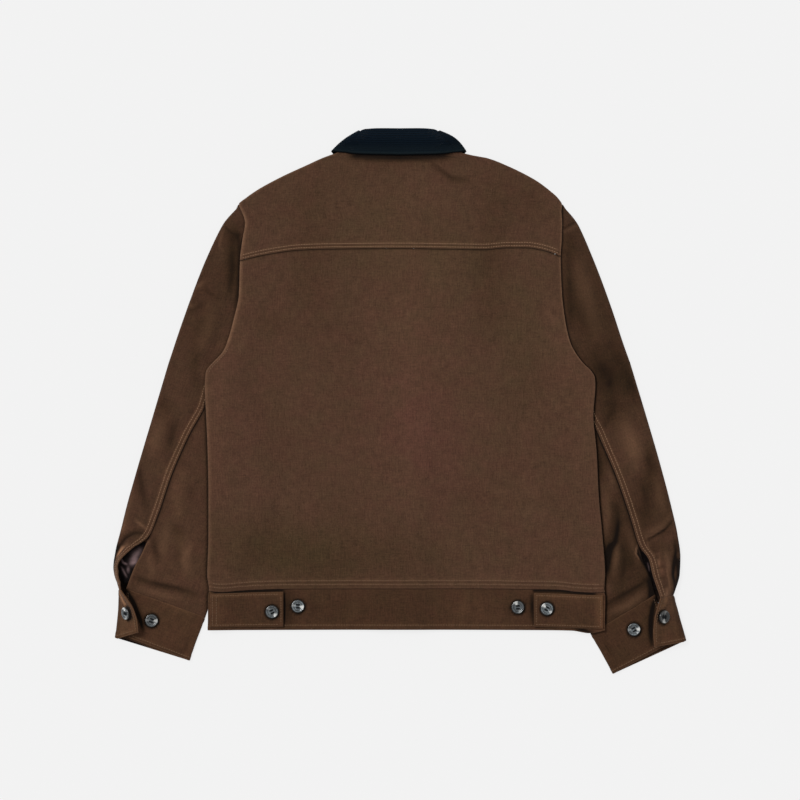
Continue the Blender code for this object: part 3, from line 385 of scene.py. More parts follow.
class Cloth:
    """One cut piece: a grid of points on its middle layer, its thickness, and how much wear and
    painted highlight and how much painted shade each point has."""

    def __init__(self, grid, thickness, outward=1):
        self.grid = bordered(np.asarray(grid, float))
        self.thickness = thickness
        self.outward = outward
        for field in ("wear_and_highlight", "shade", "tone", "warm", "inside"):
            setattr(self, field, np.zeros(self.grid.shape[:2]))

    def marked(self, places, where=1.0):
        """How strongly soft marks fall on each point of the cloth."""
        return creases(self.grid[..., 0], self.grid[..., 1], places) * where

    def folded(self, folds, where=1.0):
        """Soft folds: each moves the cloth out or in, paints wear and highlight on its ridges and
        paints shade in its troughs.
        """
        rise = self.marked(folds, where)
        self.wear_and_highlight = np.maximum(self.wear_and_highlight, np.clip(0.22 * rise, 0, 0.5))
        self.shade = np.maximum(self.shade, np.clip(-0.3 * rise, 0, 0.85))
        self.lift(rise)

    # Paints shade where the marks fall.
    def darkened(self, places, where=1.0):
        self.shade = np.maximum(self.shade, self.marked(places, where))

    def darkened_inside(self, places, where):
        """Paints shade on the inner face alone."""
        self.inside = np.maximum(self.inside, self.marked(places, where))

    def hue(self):
        """The red, green and blue of the colour as shares, less blue where the tone is dark."""
        blue = 1 - 0.45 * np.clip(-self.tone, 0, 1) - 0.2 * np.clip(self.shade, 0, 1)
        colour = np.stack([np.ones_like(blue), np.ones_like(blue), blue], -1)
        return (1 + self.warm[..., None] * (0.1, -0.05, 0.1)) * colour

    # Paints highlights where the marks fall.
    def paint_highlights(self, places, where=1.0):
        self.wear_and_highlight = np.maximum(self.wear_and_highlight, self.marked(places, where))

    def slide(self, edge, amount, where):
        """Moves the lines near an edge along the cloth, so that the seam there isn't under the one
        above it."""
        way = unit(np.gradient(self.grid, axis=0))
        share = np.exp(-self.from_edge(edge) / 6.0) * where
        self.grid = self.grid + amount * share[..., None] * way

    def toned(self, places, where=1.0):
        """Broad fades of the colour, lighter where the amount is above zero."""
        self.tone = self.tone + self.marked(places, where)

    def warmed(self, places):
        """Broad changes of hue, redder where the amount is above zero and greener below it."""
        self.warm = self.warm + self.marked(places)

    def normals(self):
        return normals_of(self.grid) * self.outward

    def from_edge(self, edge):
        """Each point's distance from the foot, top, left or right edge, measured over the cloth."""
        axis = 0 if edge in ("foot", "top") else 1
        step = np.linalg.norm(np.diff(self.grid, axis=axis), axis=-1)
        zero = np.zeros_like(np.take(step, [0], axis=axis))
        along = np.cumsum(np.concatenate([zero, step], axis=axis), axis=axis)
        if edge in ("top", "right"):
            along = np.take(along, [-1], axis=axis) - along
        return along

    def lift(self, amount):
        """Moves each point out along the cloth's face."""
        self.grid = self.grid + self.normals() * np.asarray(amount)[..., None]

    def raise_z(self, amount):
        self.grid[..., 2] += amount

    def felled(self, edge, rows, width, height, seed, period=11.0, rim=0.3):
        """The relief of a seam felled with rows of stitching: a raised allowance, a groove for each
        row, and puckers. It also paints wear and highlight along each row and along the rounded
        edge, and paints shade 2.2 mm nearer the edge than each row."""
        distance = self.from_edge(edge)
        other = self.from_edge("left" if edge in ("foot", "top") else "foot")
        band = smoothstep((width + 1.5 - distance) / 3.0)
        pucker = ripple(other, period, seed) * smoothstep((width + 9 - distance) / 10.0)
        relief = height * band + 0.2 * pucker
        for at in rows:
            relief -= 0.35 * np.exp(-((distance - at) / 0.85) ** 2)
            self.wear_and_highlight = np.maximum(self.wear_and_highlight, (0.22 + 0.12 * ripple(other, 7.0, seed + 1))
                                   * np.exp(-((distance - at) / 1.7) ** 2))
            self.shade = np.maximum(self.shade, 0.3 * np.exp(-((distance - at + 2.2) / 0.7) ** 2))
        rounded = np.exp(-(distance / 1.3) ** 2)
        self.wear_and_highlight = np.maximum(self.wear_and_highlight, rim * rounded)
        self.lift(relief)

    def line(self, edge, distance, start=0.0, end=0.0):
        """Points and normals of a line on the outer face, at a distance from an edge, with its ends
        cut off."""
        grid, normal = self.grid, self.normals()
        if edge in ("left", "right"):
            grid, normal = grid.swapaxes(0, 1), normal.swapaxes(0, 1)
        if edge in ("top", "right"):
            grid, normal = grid[::-1], normal[::-1]
        step = np.linalg.norm(np.diff(grid, axis=0), axis=-1)
        along = np.concatenate([np.zeros((1, grid.shape[1])), np.cumsum(step, axis=0)])
        k = np.clip((along < distance).sum(axis=0) - 1, 0, len(grid) - 2)
        j = np.arange(grid.shape[1])
        share = (distance - along[k, j]) / np.maximum(along[k + 1, j] - along[k, j], 1e-6)
        share = np.clip(share, 0, 1)[:, None]
        out = unit(normal[k, j] * (1 - share) + normal[k + 1, j] * share)
        points = grid[k, j] * (1 - share) + grid[k + 1, j] * share + out * self.thickness / 2
        return cut_ends(points, out, start, end)

    def at(self, x, y):
        """The point of the outer face nearest to x, y in plan, the upper one where it is folded,
        and its normal."""
        normal = self.normals()
        points = (self.grid + normal * self.thickness / 2).reshape(-1, 3)
        normal = normal.reshape(-1, 3)
        near = np.hypot(points[:, 0] - x, points[:, 1] - y) - 0.3 * points[:, 2]
        chosen = np.argsort(near)[:4]
        weight = 1 / (0.3 + near[chosen] - near[chosen[0]])
        weight = (weight / weight.sum())[:, None]
        point = (points[chosen] * weight).sum(axis=0)
        out = unit((normal[chosen] * weight).sum(axis=0))
        return np.array([x, y, point[2] - (out[0] * (x - point[0])
                                           + out[1] * (y - point[1])) / max(out[2], 0.3)]), out

    def piece(self, name, finish, middle=None):
        """The closed wall as an object, rounded at its edges. The cloth's grain is measured from
        its middle column."""
        grid, normal = self.grid, self.normals() * self.outward
        rows, columns = grid.shape[:2]
        nearest = np.minimum(np.minimum(self.from_edge("foot"), self.from_edge("top")),
                             np.minimum(self.from_edge("left"), self.from_edge("right")))
        inner = np.clip(nearest / (self.thickness / 2), 0, 1)
        half = self.thickness / 2 * np.maximum(np.sqrt(1 - (1 - inner) ** 2), 0.35)
        offset = normal * half[..., None]
        points = np.concatenate([(grid + offset).reshape(-1, 3), (grid - offset).reshape(-1, 3)])
        points[:, 2] = np.maximum(points[:, 2], LOWEST_CLOTH)
        at = np.arange(rows * columns).reshape(rows, columns)
        other = at + rows * columns
        a, b, c, d = at[:-1, :-1], at[:-1, 1:], at[1:, 1:], at[1:, :-1]
        faces = [np.stack([a, b, c, d], -1).reshape(-1, 4)]
        e, f, g, h = other[:-1, :-1], other[1:, :-1], other[1:, 1:], other[:-1, 1:]
        faces.append(np.stack([e, f, g, h], -1).reshape(-1, 4))
        rim = np.concatenate([at[0, :-1], at[:-1, -1], at[-1, :0:-1], at[:0:-1, 0]])
        after = np.roll(rim, -1)
        faces.append(np.stack([after, rim, rim + rows * columns, after + rows * columns], -1))
        across = self.from_edge("left")
        middle = columns // 2 if middle is None else middle
        across = across - across[:, [middle]]
        along = np.broadcast_to(self.from_edge("foot")[:, [middle]], across.shape)
        grain = np.stack([across, along, np.zeros_like(across)], -1).reshape(-1, 3) * MM
        under = grain + [0.37, 0.0, 0.0]
        fields = {
            "grain": np.concatenate([grain, under]),
            "wear_and_highlight": np.tile(self.wear_and_highlight.ravel(), 2),
            "shade": np.concatenate([self.shade,
                                     np.maximum(self.shade, self.inside)][::self.outward]).ravel(),
            "tone": np.tile(self.tone.ravel(), 2),
            "hue": np.tile(self.hue().reshape(-1, 3), (2, 1)),
        }
        return mesh_piece(name, points, np.concatenate(faces), finish, fields)


def cut_ends(points, normals, start, end):
    run = np.concatenate([[0.0], np.cumsum(np.linalg.norm(np.diff(points, axis=0), axis=1))])
    kept = (run >= start) & (run <= run[-1] - end)
    return points[kept], normals[kept]


def mesh_piece(name, points, faces, finish, fields=None):
    """A smooth-shaded object from points in millimetres, with a value of each field at each
    point."""
    mesh = bpy.data.meshes.new(name)
    faces = np.asarray(faces)
    mesh.vertices.add(len(points))
    mesh.vertices.foreach_set("co", (np.asarray(points, float) * MM).astype(np.float32).ravel())
    mesh.loops.add(faces.size)
    mesh.loops.foreach_set("vertex_index", faces.astype(np.int32).ravel())
    mesh.polygons.add(len(faces))
    mesh.polygons.foreach_set("loop_start",
                              np.arange(0, faces.size, faces.shape[1], dtype=np.int32))
    mesh.update(calc_edges=True)
    mesh.validate()
    mesh.shade_smooth()
    for field, values in (fields or {}).items():
        values = np.asarray(values, np.float32)
        kind, key = ("FLOAT_VECTOR", "vector") if values.ndim == 2 else ("FLOAT", "value")
        mesh.attributes.new(field, kind, "POINT").data.foreach_set(key, values.ravel())
    volume = signed_volume(np.asarray(points, float), faces)
    if volume < 0:
        mesh.flip_normals()
    made = bpy.data.objects.new(name, mesh)
    bpy.context.scene.collection.objects.link(made)
    mesh.materials.append(finish)
    return made


def signed_volume(points, faces):
    total = 0.0
    first = points[faces[:, 0]]
    for k in range(1, faces.shape[1] - 1):
        total += float((first * np.cross(points[faces[:, k]], points[faces[:, k + 1]])).sum())
    return total


# ---- stitching ----

STITCH_SHARES = np.array([0.0, 0.14, 0.5, 0.86, 1.0])
STITCH_DEPTHS = np.array([-0.9, -0.05, 0.22, -0.05, -0.9])
STITCH_ROUND = np.array([0.8, 1.0, 0.8])
THREAD_SIDES = 5


def stitch_faces():
    """The triangles of one stitch: a point, three rings and a point."""
    faces = []
    rings = [[1 + ring * THREAD_SIDES + k for k in range(THREAD_SIDES)] for ring in range(3)]
    last = 1 + 3 * THREAD_SIDES
    for k in range(THREAD_SIDES):
        m = (k + 1) % THREAD_SIDES
        faces.append((0, rings[0][m], rings[0][k]))
        for low, high in ((rings[0], rings[1]), (rings[1], rings[2])):
            faces += [(low[k], low[m], high[m]), (low[k], high[m], high[k])]
        faces.append((rings[2][k], rings[2][m], last))
    return np.array(faces)


def along_line(points, run, places):
    return np.stack([np.interp(places, run, points[:, k]) for k in range(3)], -1)


def stitch_points(points, normals, pitch, length, radius, seed):
    """The vertices of each stitch along one line."""
    run = np.concatenate([[0.0], np.cumsum(np.linalg.norm(np.diff(points, axis=0), axis=1))])
    count = int(run[-1] // pitch)
    if count < 1:
        return np.zeros((0, 2 + 3 * THREAD_SIDES, 3))
    random = np.random.default_rng(seed)
    starts = (np.arange(count) + 0.15) * pitch + random.uniform(-0.12, 0.12, count)
    places = starts[:, None] + length * STITCH_SHARES
    centre = along_line(points, run, places)
    out = unit(along_line(normals, run, places))
    way = unit(centre[:, -1] - centre[:, 0])[:, None]
    side = unit(np.cross(out, way))
    side_step = random.uniform(-0.09, 0.09, (count, 1, 1))
    centre = centre + out * radius * STITCH_DEPTHS[:, None] + side * side_step
    parts = [centre[:, :1]]
    for ring in range(3):
        angle = 2 * math.pi * np.arange(THREAD_SIDES) / THREAD_SIDES
        around = (side[:, [ring + 1]] * np.cos(angle)[:, None]
                  + out[:, [ring + 1]] * np.sin(angle)[:, None])
        parts.append(centre[:, [ring + 1]] + around * radius * STITCH_ROUND[ring])
    parts.append(centre[:, -1:])
    return np.concatenate(parts, axis=1)


def sew(name, rows, finish, pitch=3.6, length=2.9, radius=0.42):
    """Rows of stitching joined as one piece. A row is the points and normals of its line."""
    template = stitch_faces()
    points, faces, fields = [], [], []
    total = 0
    for number, (line, normals) in enumerate(rows):
        made = stitch_points(line, normals, pitch, length, radius, 100 + number)
        count, size = made.shape[:2]
        points.append(made.reshape(-1, 3))
        first = (total + size * np.arange(count))[:, None, None]
        faces.append((template[None] + first).reshape(-1, 3))
        along = np.concatenate([[0.0], np.repeat(STITCH_SHARES[1:4], THREAD_SIDES), [1.0]]) * length
        around = np.concatenate([[0.0], np.tile(np.arange(THREAD_SIDES) / THREAD_SIDES, 3), [0.0]])
        grain = np.stack([along * MM, around, np.zeros_like(along)], -1)
        fields.append(np.tile(grain, (count, 1))
                      + np.repeat(np.arange(count), size)[:, None] * [0.0, 0.0, 0.618])
        total += size * count
    points = np.concatenate(points)
    points[:, 2] = np.maximum(points[:, 2], LOWEST_THREAD)
    made = mesh_piece(name, points, np.concatenate(faces), finish,
                      {"grain": np.concatenate(fields)})
    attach(made, "root")
    return made


def tube(points, radius, sides=8):
    """The points and quads of a round tube along a path, with closed, tapered ends."""
    points = np.asarray(points, float)
    way = unit(np.gradient(points, axis=0))
    side = unit(np.cross(way, (0.13, 0.21, 1.0)))
    other = np.cross(way, side)
    angle = 2 * math.pi * np.arange(sides) / sides
    taper = np.ones(len(points))
    taper[0] = taper[-1] = 0.4
    rings = points[:, None] + radius * taper[:, None, None] * (
        side[:, None] * np.cos(angle)[:, None] + other[:, None] * np.sin(angle)[:, None])
    faces = []
    for ring in range(len(points) - 1):
        for k in range(sides):
            a, b = ring * sides + k, ring * sides + (k + 1) % sides
            faces.append((a, b, b + sides, a + sides))
    caps = np.concatenate([rings.reshape(-1, 3), points[:1], points[-1:]])
    first, last = len(points) * sides, len(points) * sides + 1
    for k in range(0, sides, 2):
        a, b, c = k, (k + 1) % sides, (k + 2) % sides
        faces.append((first, c, b, a))
        up = (len(points) - 1) * sides
        faces.append((last, up + a, up + b, up + c))
    return caps, np.array(faces)


def joined(parts):
    """Several (points, faces) as one."""
    points, faces, total = [], [], 0
    for part_points, part_faces in parts:
        points.append(part_points)
        faces.append(part_faces + total)
        total += len(part_points)
    return np.concatenate(points), np.concatenate(faces)


# ---- the body's sections ----

ARC = np.linspace(1.0, 0.0, 5)
CLOSED_TURN = math.radians(77)
OPEN_TURN = math.radians(51)
BODY_COLUMNS = 166
FRONT_COLUMNS = 60


def body_edge(side, y, height, upper):
    """Points round the body's edge at level y from its seam to the flat."""
    sign = -1 if side == "left" else 1
    edge = float(outline[side](y))
    stretch = 1 + 0.9 * float(smoothstep((y - 272) / 10.0) * (1 - smoothstep((y - 340) / 8.0)))
    centre = edge - sign * (CLOTH / 2 + EDGE_RADIUS) * stretch
    top, bottom = float(back_height(centre, y)), float(height(centre, y))
    radius, mid = (top - bottom) / 2, (top + bottom) / 2
    reach = min(radius, EDGE_RADIUS) * stretch
    if upper:
        open_part = float(smoothstep((y - 24) / 20.0) * (1 - smoothstep((y - 274) / 6.0)))
        angle = ARC * (CLOSED_TURN - OPEN_TURN * open_part)
        x, z = centre + sign * reach * np.sin(angle), mid + radius * np.cos(angle)
        x += sign * 1.9 * open_part * ARC
    else:
        angle = ARC * CLOSED_TURN
        x, z = centre + sign * reach * np.sin(angle), mid - radius * np.cos(angle)
        open_part = float(smoothstep((y - 22) / 12.0) * (1 - smoothstep((y - 272) / 7.0)))
        inset = FRONT_INSET - ARMPIT_OUT * math.exp(-(((y - ARMPIT_LEVEL) / ARMPIT_FADE) ** 2))
        x += open_part * (edge - sign * (inset + 3.0 * (1 - ARC)) - x)
        z += open_part * (float(height(edge, y)) - z)
    return np.stack([x, np.full_like(x, y), z], -1)


def bent(level, seam_low=None, seam_high=None, reach=60.0):
    """A level line that bends to run beside the seam at either end."""
    def y_at(x):
        y = level + 0.0 * np.asarray(x, float)
        if seam_high is not None:
            share = smoothstep(1 - (seam_high(0.0) - level) / reach)
            y = y + (seam_high(x) - seam_high(0.0)) * share
        if seam_low is not None:
            share = smoothstep(1 - (level - seam_low(0.0)) / reach)
            y = y + (seam_low(x) - seam_low(0.0)) * share
        return y
    return y_at


def back_row(y_at, level):
    """One section across the back from side to side."""
    ends = []
    for side in ("left", "right"):
        edge_y = float(y_at(float(outline[side](level))))
        ends.append(body_edge(side, edge_y, FRONT_HEIGHT[side], True))
    x = np.linspace(ends[0][-1, 0], ends[1][-1, 0], BODY_COLUMNS)[1:-1]
    y = y_at(x)
    return np.concatenate([ends[0], np.stack([x, y, back_height(x, y)], -1), ends[1][::-1]])


def front_row(side, y_at, level, inner):
    """One section of a front, from its side edge to x = inner."""
    height = FRONT_HEIGHT[side]
    edge = body_edge(side, float(y_at(float(outline[side](level)))), height, False)
    x = np.linspace(edge[-1, 0], inner, FRONT_COLUMNS)[1:]
    y = y_at(x)
    return np.concatenate([edge, np.stack([x, y, height(x, y)], -1)])


def panel_foot(x):
    return waist_seam(x) + SEAM / 2


def panel_top(x):
    return yoke_seam(x) - SEAM / 2


def yoke_foot(x):
    return yoke_seam(x) + SEAM / 2


def back_grid():
    levels = lines(float(panel_foot(0.0)), float(panel_top(0.0)), STEP, BESIDE_SEAM, 5.5)
    return np.array([back_row(bent(level, panel_foot, panel_top), level) for level in levels])


def yoke_grid():
    levels = lines(float(yoke_foot(0.0)), 346.5, STEP, BESIDE_SEAM)
    rows = [back_row(bent(level, yoke_foot), level) for level in levels]
    ends = np.array([collar_point(f, STAND_WIDTH,
                                  0.0) for f in collar_frames(np.arange(14)) if f["side"][2] > 0.9])
    neck = rows[-1].copy()
    neck[:, 0] *= 0.8
    neck[:, 1] = np.interp(neck[:, 0], ends[:, 0], ends[:, 1]) - NECK_GAP
    neck[:, 2] = back_height(neck[:, 0], neck[:, 1])
    last = rows[-1]
    rows += [last + (neck - last) * share for share in (0.25, 0.5, 0.75, 1.0)]
    return np.array(rows)


def neckline(side):
    ends = []
    for section in collar_frames(np.arange(14)):
        if section["side"][2] < -0.9 and (section["roll"][0] < 0) == (side == "left"):
            ends.append(collar_point(section, STAND_WIDTH, 0.0)[:2])
    ends = np.array(sorted(ends, key=lambda end: end[1]))
    return ends[:, 1], np.abs(ends[:, 0])


def front_grid(side):
    sign = -1 if side == "left" else 1
    neck_y, neck_x = neckline(side)
    start, most = float(panel_foot(0.0)) + FRONT_WAIST_RISE, max(346.5, neck_y[-2])
    levels = np.concatenate([lines(start, PLACKET_TOP, FRONT_STEP, BESIDE_SEAM),
                             lines(PLACKET_TOP + 1.5, most)])
    rows = []
    for level in levels:
        inner = sign * (PLACKET_HALF + SEAM / 2)
        if level > PLACKET_TOP:
            inner = sign * (float(np.interp(level, neck_y, neck_x)) + NECK_GAP)
        rows.append(front_row(side, bent(level, lambda x: panel_foot(x) + FRONT_WAIST_RISE), level,
                              inner))
    return np.array(rows)


def placket_grid(side):
    across = lines(-PLACKET_HALF + SEAM / 2, PLACKET_HALF - SEAM / 2, 2.4)
    rows = []
    for y in lines(-259.5, PLACKET_TOP, STEP):
        rows.append(np.stack([across, np.full_like(across, y), FRONT_HEIGHT[side](across, y)], -1))
    return np.array(rows)


# How much higher the waist seam of the fronts lies than that of the back
FRONT_WAIST_RISE = 2.0


def band_line(drop, rise=0.0):
    return lambda x: (1 - drop) * (waist_seam(x) + rise - SEAM / 2) + drop * hem_line(x)


BAND_DROPS = lines(0.0, 59.0, STEP, 5.5, BESIDE_SEAM)[::-1] / 59.0


def band_grid(part):
    rows = []
    for drop in BAND_DROPS:
        line = band_line(drop, 0.0 if part == "back" else FRONT_WAIST_RISE)
        level = float(line(0.0))
        if part == "back":
            rows.append(back_row(line, level))
            continue
        sign = -1 if part == "left" else 1
        row = front_row(part, line, level, sign * PLACKET_HALF)
        x = np.linspace(PLACKET_HALF, -PLACKET_HALF, 13)[1:] * sign
        y = line(x)
        rows.append(np.concatenate([row, np.stack([x, y, FRONT_HEIGHT[part](x, y)], -1)]))
    return np.array(rows)


def tab_grid(side):
    size = TABS[side]
    low, high = sorted((size["seam"], size["end"]))
    x = lines(low, high, 2.2)
    u = (x - size["seam"]) / (size["end"] - size["seam"])
    top = size["top_seam"] + u * (size["top_end"] - size["top_seam"])
    foot = size["foot_seam"] + u * (size["foot_end"] - size["foot_seam"])
    rows = []
    for v in lines(0.0, 1.0, 0.04)[::-1]:
        y = top + v * (foot - top)
        z = back_height(x, y) + (CLOTH + TAB_CLOTH) / 2 + 2 * SEAM + TAB_END_LIFT * u ** 3
        rows.append(np.stack([x, y, z], -1))
    return np.array(rows)


# ---- the collar's sections ----

def collar_frames(places):
    """For each section round the neck: its roll point, the way to the fall edge, its outward side
    and length."""
    at = {name: curve(np.arange(len(column)), column) for name, column in COLLAR.items()}
    made = []
    for sign, place in [(-1, p) for p in places[:0:-1]] + [(1, p) for p in places]:
        stretch = LEFT_COLLAR_STRETCH if sign < 0 else 1.0
        roll = np.array([sign * stretch * at["roll_x"](place), at["roll_y"](place)])
        fall = np.array([sign * stretch * at["fall_x"](place), at["fall_y"](place)])
        way = unit(fall - roll)
        outward = np.array([-way[1], way[0]]) if sign > 0 else np.array([way[1], -way[0]])
        turn = math.radians(at["turn"](place))
        side = np.array([*(outward * math.sin(turn)), math.cos(turn)])
        corner = CORNER_SWELL["left" if sign < 0 else "right"]
        swell = np.array([*outward, 0.0]) * math.sin(turn) * corner
        sag = float(neck_sag(roll[0], 345.0)) * float(smoothstep(1 - turn / 0.1))
        made.append(dict(roll=np.array([*roll, COLLAR_MID_Z - sag]), way=np.array([*way, 0.0]),
                         side=side,
                         swell=swell, length=float(np.linalg.norm(fall - roll)), place=place))
    return made


def collar_point(section, reach, height, swell_share=1.0):
    reach = np.asarray(reach, float)[..., None]
    swell = section["swell"] * swell_share * np.sin(math.pi * reach / section["length"])
    return section["roll"] + section["way"] * reach + swell + section["side"] * height


def round_roll(section, degrees):
    angle = np.radians(degrees)[..., None]
    centre = collar_point(section, 0.0, FALL_REACH - ROLL_RADIUS)
    return centre + ROLL_RADIUS * (section["side"] * np.sin(angle) - section["way"] * np.cos(angle))


COLLAR_PLACES = np.concatenate([np.linspace(0, 4, 24)[:-1], np.linspace(4, 8, 25)[:-1],
                                np.linspace(8, 13, 52)])
COLLAR_SEAM_ANGLE = 12.0


def fall_grid():
    shares = np.linspace(1, 0, 62)
    bend = np.linspace(90, COLLAR_SEAM_ANGLE, 8)[1:]
    rows = []
    for section in collar_frames(COLLAR_PLACES):
        rows.append(np.concatenate([collar_point(section, section["length"] * shares, FALL_REACH),
                                    round_roll(section, bend)]))
    return np.array(rows)


def stand_grid():
    bend = np.linspace(-COLLAR_SEAM_ANGLE, -90, 8)[:-1]
    reach = np.linspace(0, STAND_WIDTH, 12)
    rows = []
    for section in collar_frames(COLLAR_PLACES):
        rows.append(np.concatenate([round_roll(section, bend),
                                    collar_point(section, reach, STAND_REACH, 0.7)]))
    return np.array(rows)


# ---- sections of the sleeves and cuffs ----

def between(rows, place, first=0, last=None):
    """The section at a part row number, from the rows first to last."""
    stop = len(rows["outer_x"]) if last is None else last + 1
    numbers = np.arange(first, stop)
    return {name: float(curve(numbers, column[first:stop])(place)) for name, column in rows.items()}


def fold(outer, inward, base, end, radius, bulge, counts):
    """Cloth that runs out along the floor, turns up round a fold and comes back to an edge."""
    start = np.array([*outer, 0.0]) + np.array([*inward, 0.0]) * CLOTH / 2
    to_end = end[:2] - start[:2]
    end_in = float(np.dot(to_end, inward))
    aside = to_end - end_in * inward
    centre_z = FLOOR_MID + radius
    run, rise = end_in - radius, end[2] - centre_z
    top = math.atan2(rise, run) + math.acos(min(1.0, radius / math.hypot(run, rise)))
    angle = np.linspace(1.5 * math.pi, top, counts[1] + 1)
    floor = np.linspace(base, radius, counts[0] + 1)[:-1]
    turn_h, turn_z = radius + radius * np.cos(angle), centre_z + radius * np.sin(angle)
    w = np.linspace(0, 1, counts[2] + 1)[1:]
    back_h = turn_h[-1] + w * (end_in - turn_h[-1])
    back_z = turn_z[-1] + w * (end[2] - turn_z[-1]) + 16 * bulge * (w * (1 - w)) ** 2
    h = np.concatenate([floor, turn_h, back_h])
    z = np.concatenate([np.full_like(floor, FLOOR_MID), turn_z, back_z])
    share = np.concatenate([np.zeros(len(floor) + len(turn_h)), w])
    plan = start[:2] + h[:, None] * inward + share[:, None] * aside
    return np.concatenate([plan, z[:, None]], axis=1)


def sleeve_parts(row, closed):
    outer = np.array([row["outer_x"], row["outer_y"]])
    part = "inner" if closed else "edge"
    inner = np.array([row[part + "_x"], row[part + "_y"]])
    span = float(np.linalg.norm(inner - outer))
    return outer, inner, (inner - outer) / span, span


UPPER_COUNTS = (14, 7, 54)
UNDER_COUNTS = (6, 6, 50)
CUFF_NEAR_COUNTS = (12, 6, 36)
CUFF_FAR_COUNTS = (12, 8, 14)


def upper_section(row, closed, place):
    outer, _, inward, span = sleeve_parts(row, closed)
    base = span * (FRONT_SEAM_SHARE if closed else 1.0) - CLOTH / 2
    end = np.array([row["edge_x"], row["edge_y"], row["edge_z"]])
    end[:2] -= inward * SEAM / 2
    return fold(outer, inward, base - SEAM / 2, end, row["round"], float(curve(*PUFF)(place)),
                UPPER_COUNTS)


def under_section(row):
    _, inner, inward, span = sleeve_parts(row, True)
    base = span * (1 - FRONT_SEAM_SHARE) - CLOTH / 2
    end = np.array([row["under_x"], row["under_y"], row["under_z"]])
    end[:2] += inward * SEAM / 2
    return fold(inner, -inward, base - SEAM / 2, end, INNER_FOLD, 0.0, UNDER_COUNTS)


def cuff_section(row):
    outer, inner, inward, span = sleeve_parts(row, True)
    flap_end = np.array([row["edge_x"], row["edge_y"], row["edge_z"]])
    under_end = np.array([row["under_x"], row["under_y"], row["under_z"]])
    near = fold(inner, -inward, span / 2, under_end, INNER_FOLD, 0.0, CUFF_NEAR_COUNTS)
    far = fold(outer, inward, span / 2, flap_end, row["round"], 0.0, CUFF_FAR_COUNTS)
    return np.concatenate([near[::-1], far[1:]])


def row_places(rows, first, last, step=STEP, close_start=0.0, close_end=0.0):
    """Part row numbers whose sections lie a step apart along the outer fold."""
    numbers = np.linspace(first, last, 400)
    x, y = (curve(np.arange(len(rows["outer_x"])), rows[name])(numbers)
            for name in ("outer_x", "outer_y"))
    run = np.concatenate([[0.0], np.cumsum(np.hypot(np.diff(x), np.diff(y)))])
    return np.interp(lines(0.0, run[-1], step, close_start, close_end), run, numbers)


def upper_grid(side):
    """The upper sleeve's grid and the row number of each of its lines."""
    rows = SLEEVES[side][0]
    places = row_places(rows, 0, CUFF_ROW, SLEEVE_STEP, 0, BESIDE_SEAM)
    last_open = ARMPIT_ROW - 1
    before = upper_section(between(rows, last_open, 0, last_open), False, last_open)
    after = upper_section(between(rows, ARMPIT_ROW, ARMPIT_ROW), True, ARMPIT_ROW)
    grid = []
    for place in places:
        if place <= last_open:
            grid.append(upper_section(between(rows, place, 0, last_open), False, place))
        elif place >= ARMPIT_ROW:
            grid.append(upper_section(between(rows, place, ARMPIT_ROW), True, place))
        else:
            grid.append(before + (after - before) * (place - last_open))
    return np.array(grid), places


def under_grid(side):
    rows = SLEEVES[side][0]
    places = row_places(rows, ARMPIT_ROW, CUFF_ROW, SLEEVE_STEP, 0, BESIDE_SEAM)
    return np.array([under_section(between(rows, place, ARMPIT_ROW)) for place in places]), places


def cuff_rows(side):
    """The cuff's four measured sections, the first of them close below the sleeve's seam."""
    rows, cuff = SLEEVES[side]
    first = {name: column[-1] for name, column in rows.items()}
    for part in ("outer", "edge", "under", "inner"):
        gone = np.array([cuff[part + axis][0] - first[part + axis] for axis in ("_x", "_y")])
        step = unit(gone) * 0.2
        first[part + "_x"] += step[0]
        first[part + "_y"] += step[1]
    return {name: np.concatenate([[first[name]], column]) for name, column in cuff.items()}


def cuff_grid(side):
    rows = cuff_rows(side)
    places = row_places(rows, 0, 3, 2.6, 6.6, BESIDE_SEAM)
    return np.array([cuff_section(between(rows, place)) for place in places])


def lining_grid(side):
    """The satin in the sleeve's open slit, crumpled on the sleeve's floor side."""
    hidden = 8.0
    floor = CLOTH + SEAM + LINING / 2
    rows = SLEEVES[side][0]
    grid = []
    for place in np.linspace(12.35, 14.7, 60):
        row = between(rows, place, ARMPIT_ROW)
        outer, _, inward, _ = sleeve_parts(row, True)
        edge = np.array([row["edge_x"], row["edge_y"]]) - inward * 4
        under = np.array([row["under_x"], row["under_y"]]) + inward * hidden
        reach = float(np.dot(edge - outer, inward))
        edge = edge + inward * max(0.0, 9.0 - reach)
        u = np.linspace(0, 1, 26)
        plan = edge + u[:, None] * (under - edge)
        crumple = 1.8 * np.sin(math.pi * np.minimum(1.0, 2.5 * u)) ** 2 * math.sin(place * 2.2) ** 2
        fine = (0.35 * (1 + ripple(place * 14 + 9 * u, 6.0, 5))
                * np.sin(math.pi * np.minimum(1.0, 2.5 * u)))
        grid.append(np.concatenate([plan, (floor + crumple + fine)[:, None]], axis=1))
    return np.array(grid)


# ---- finishes ----

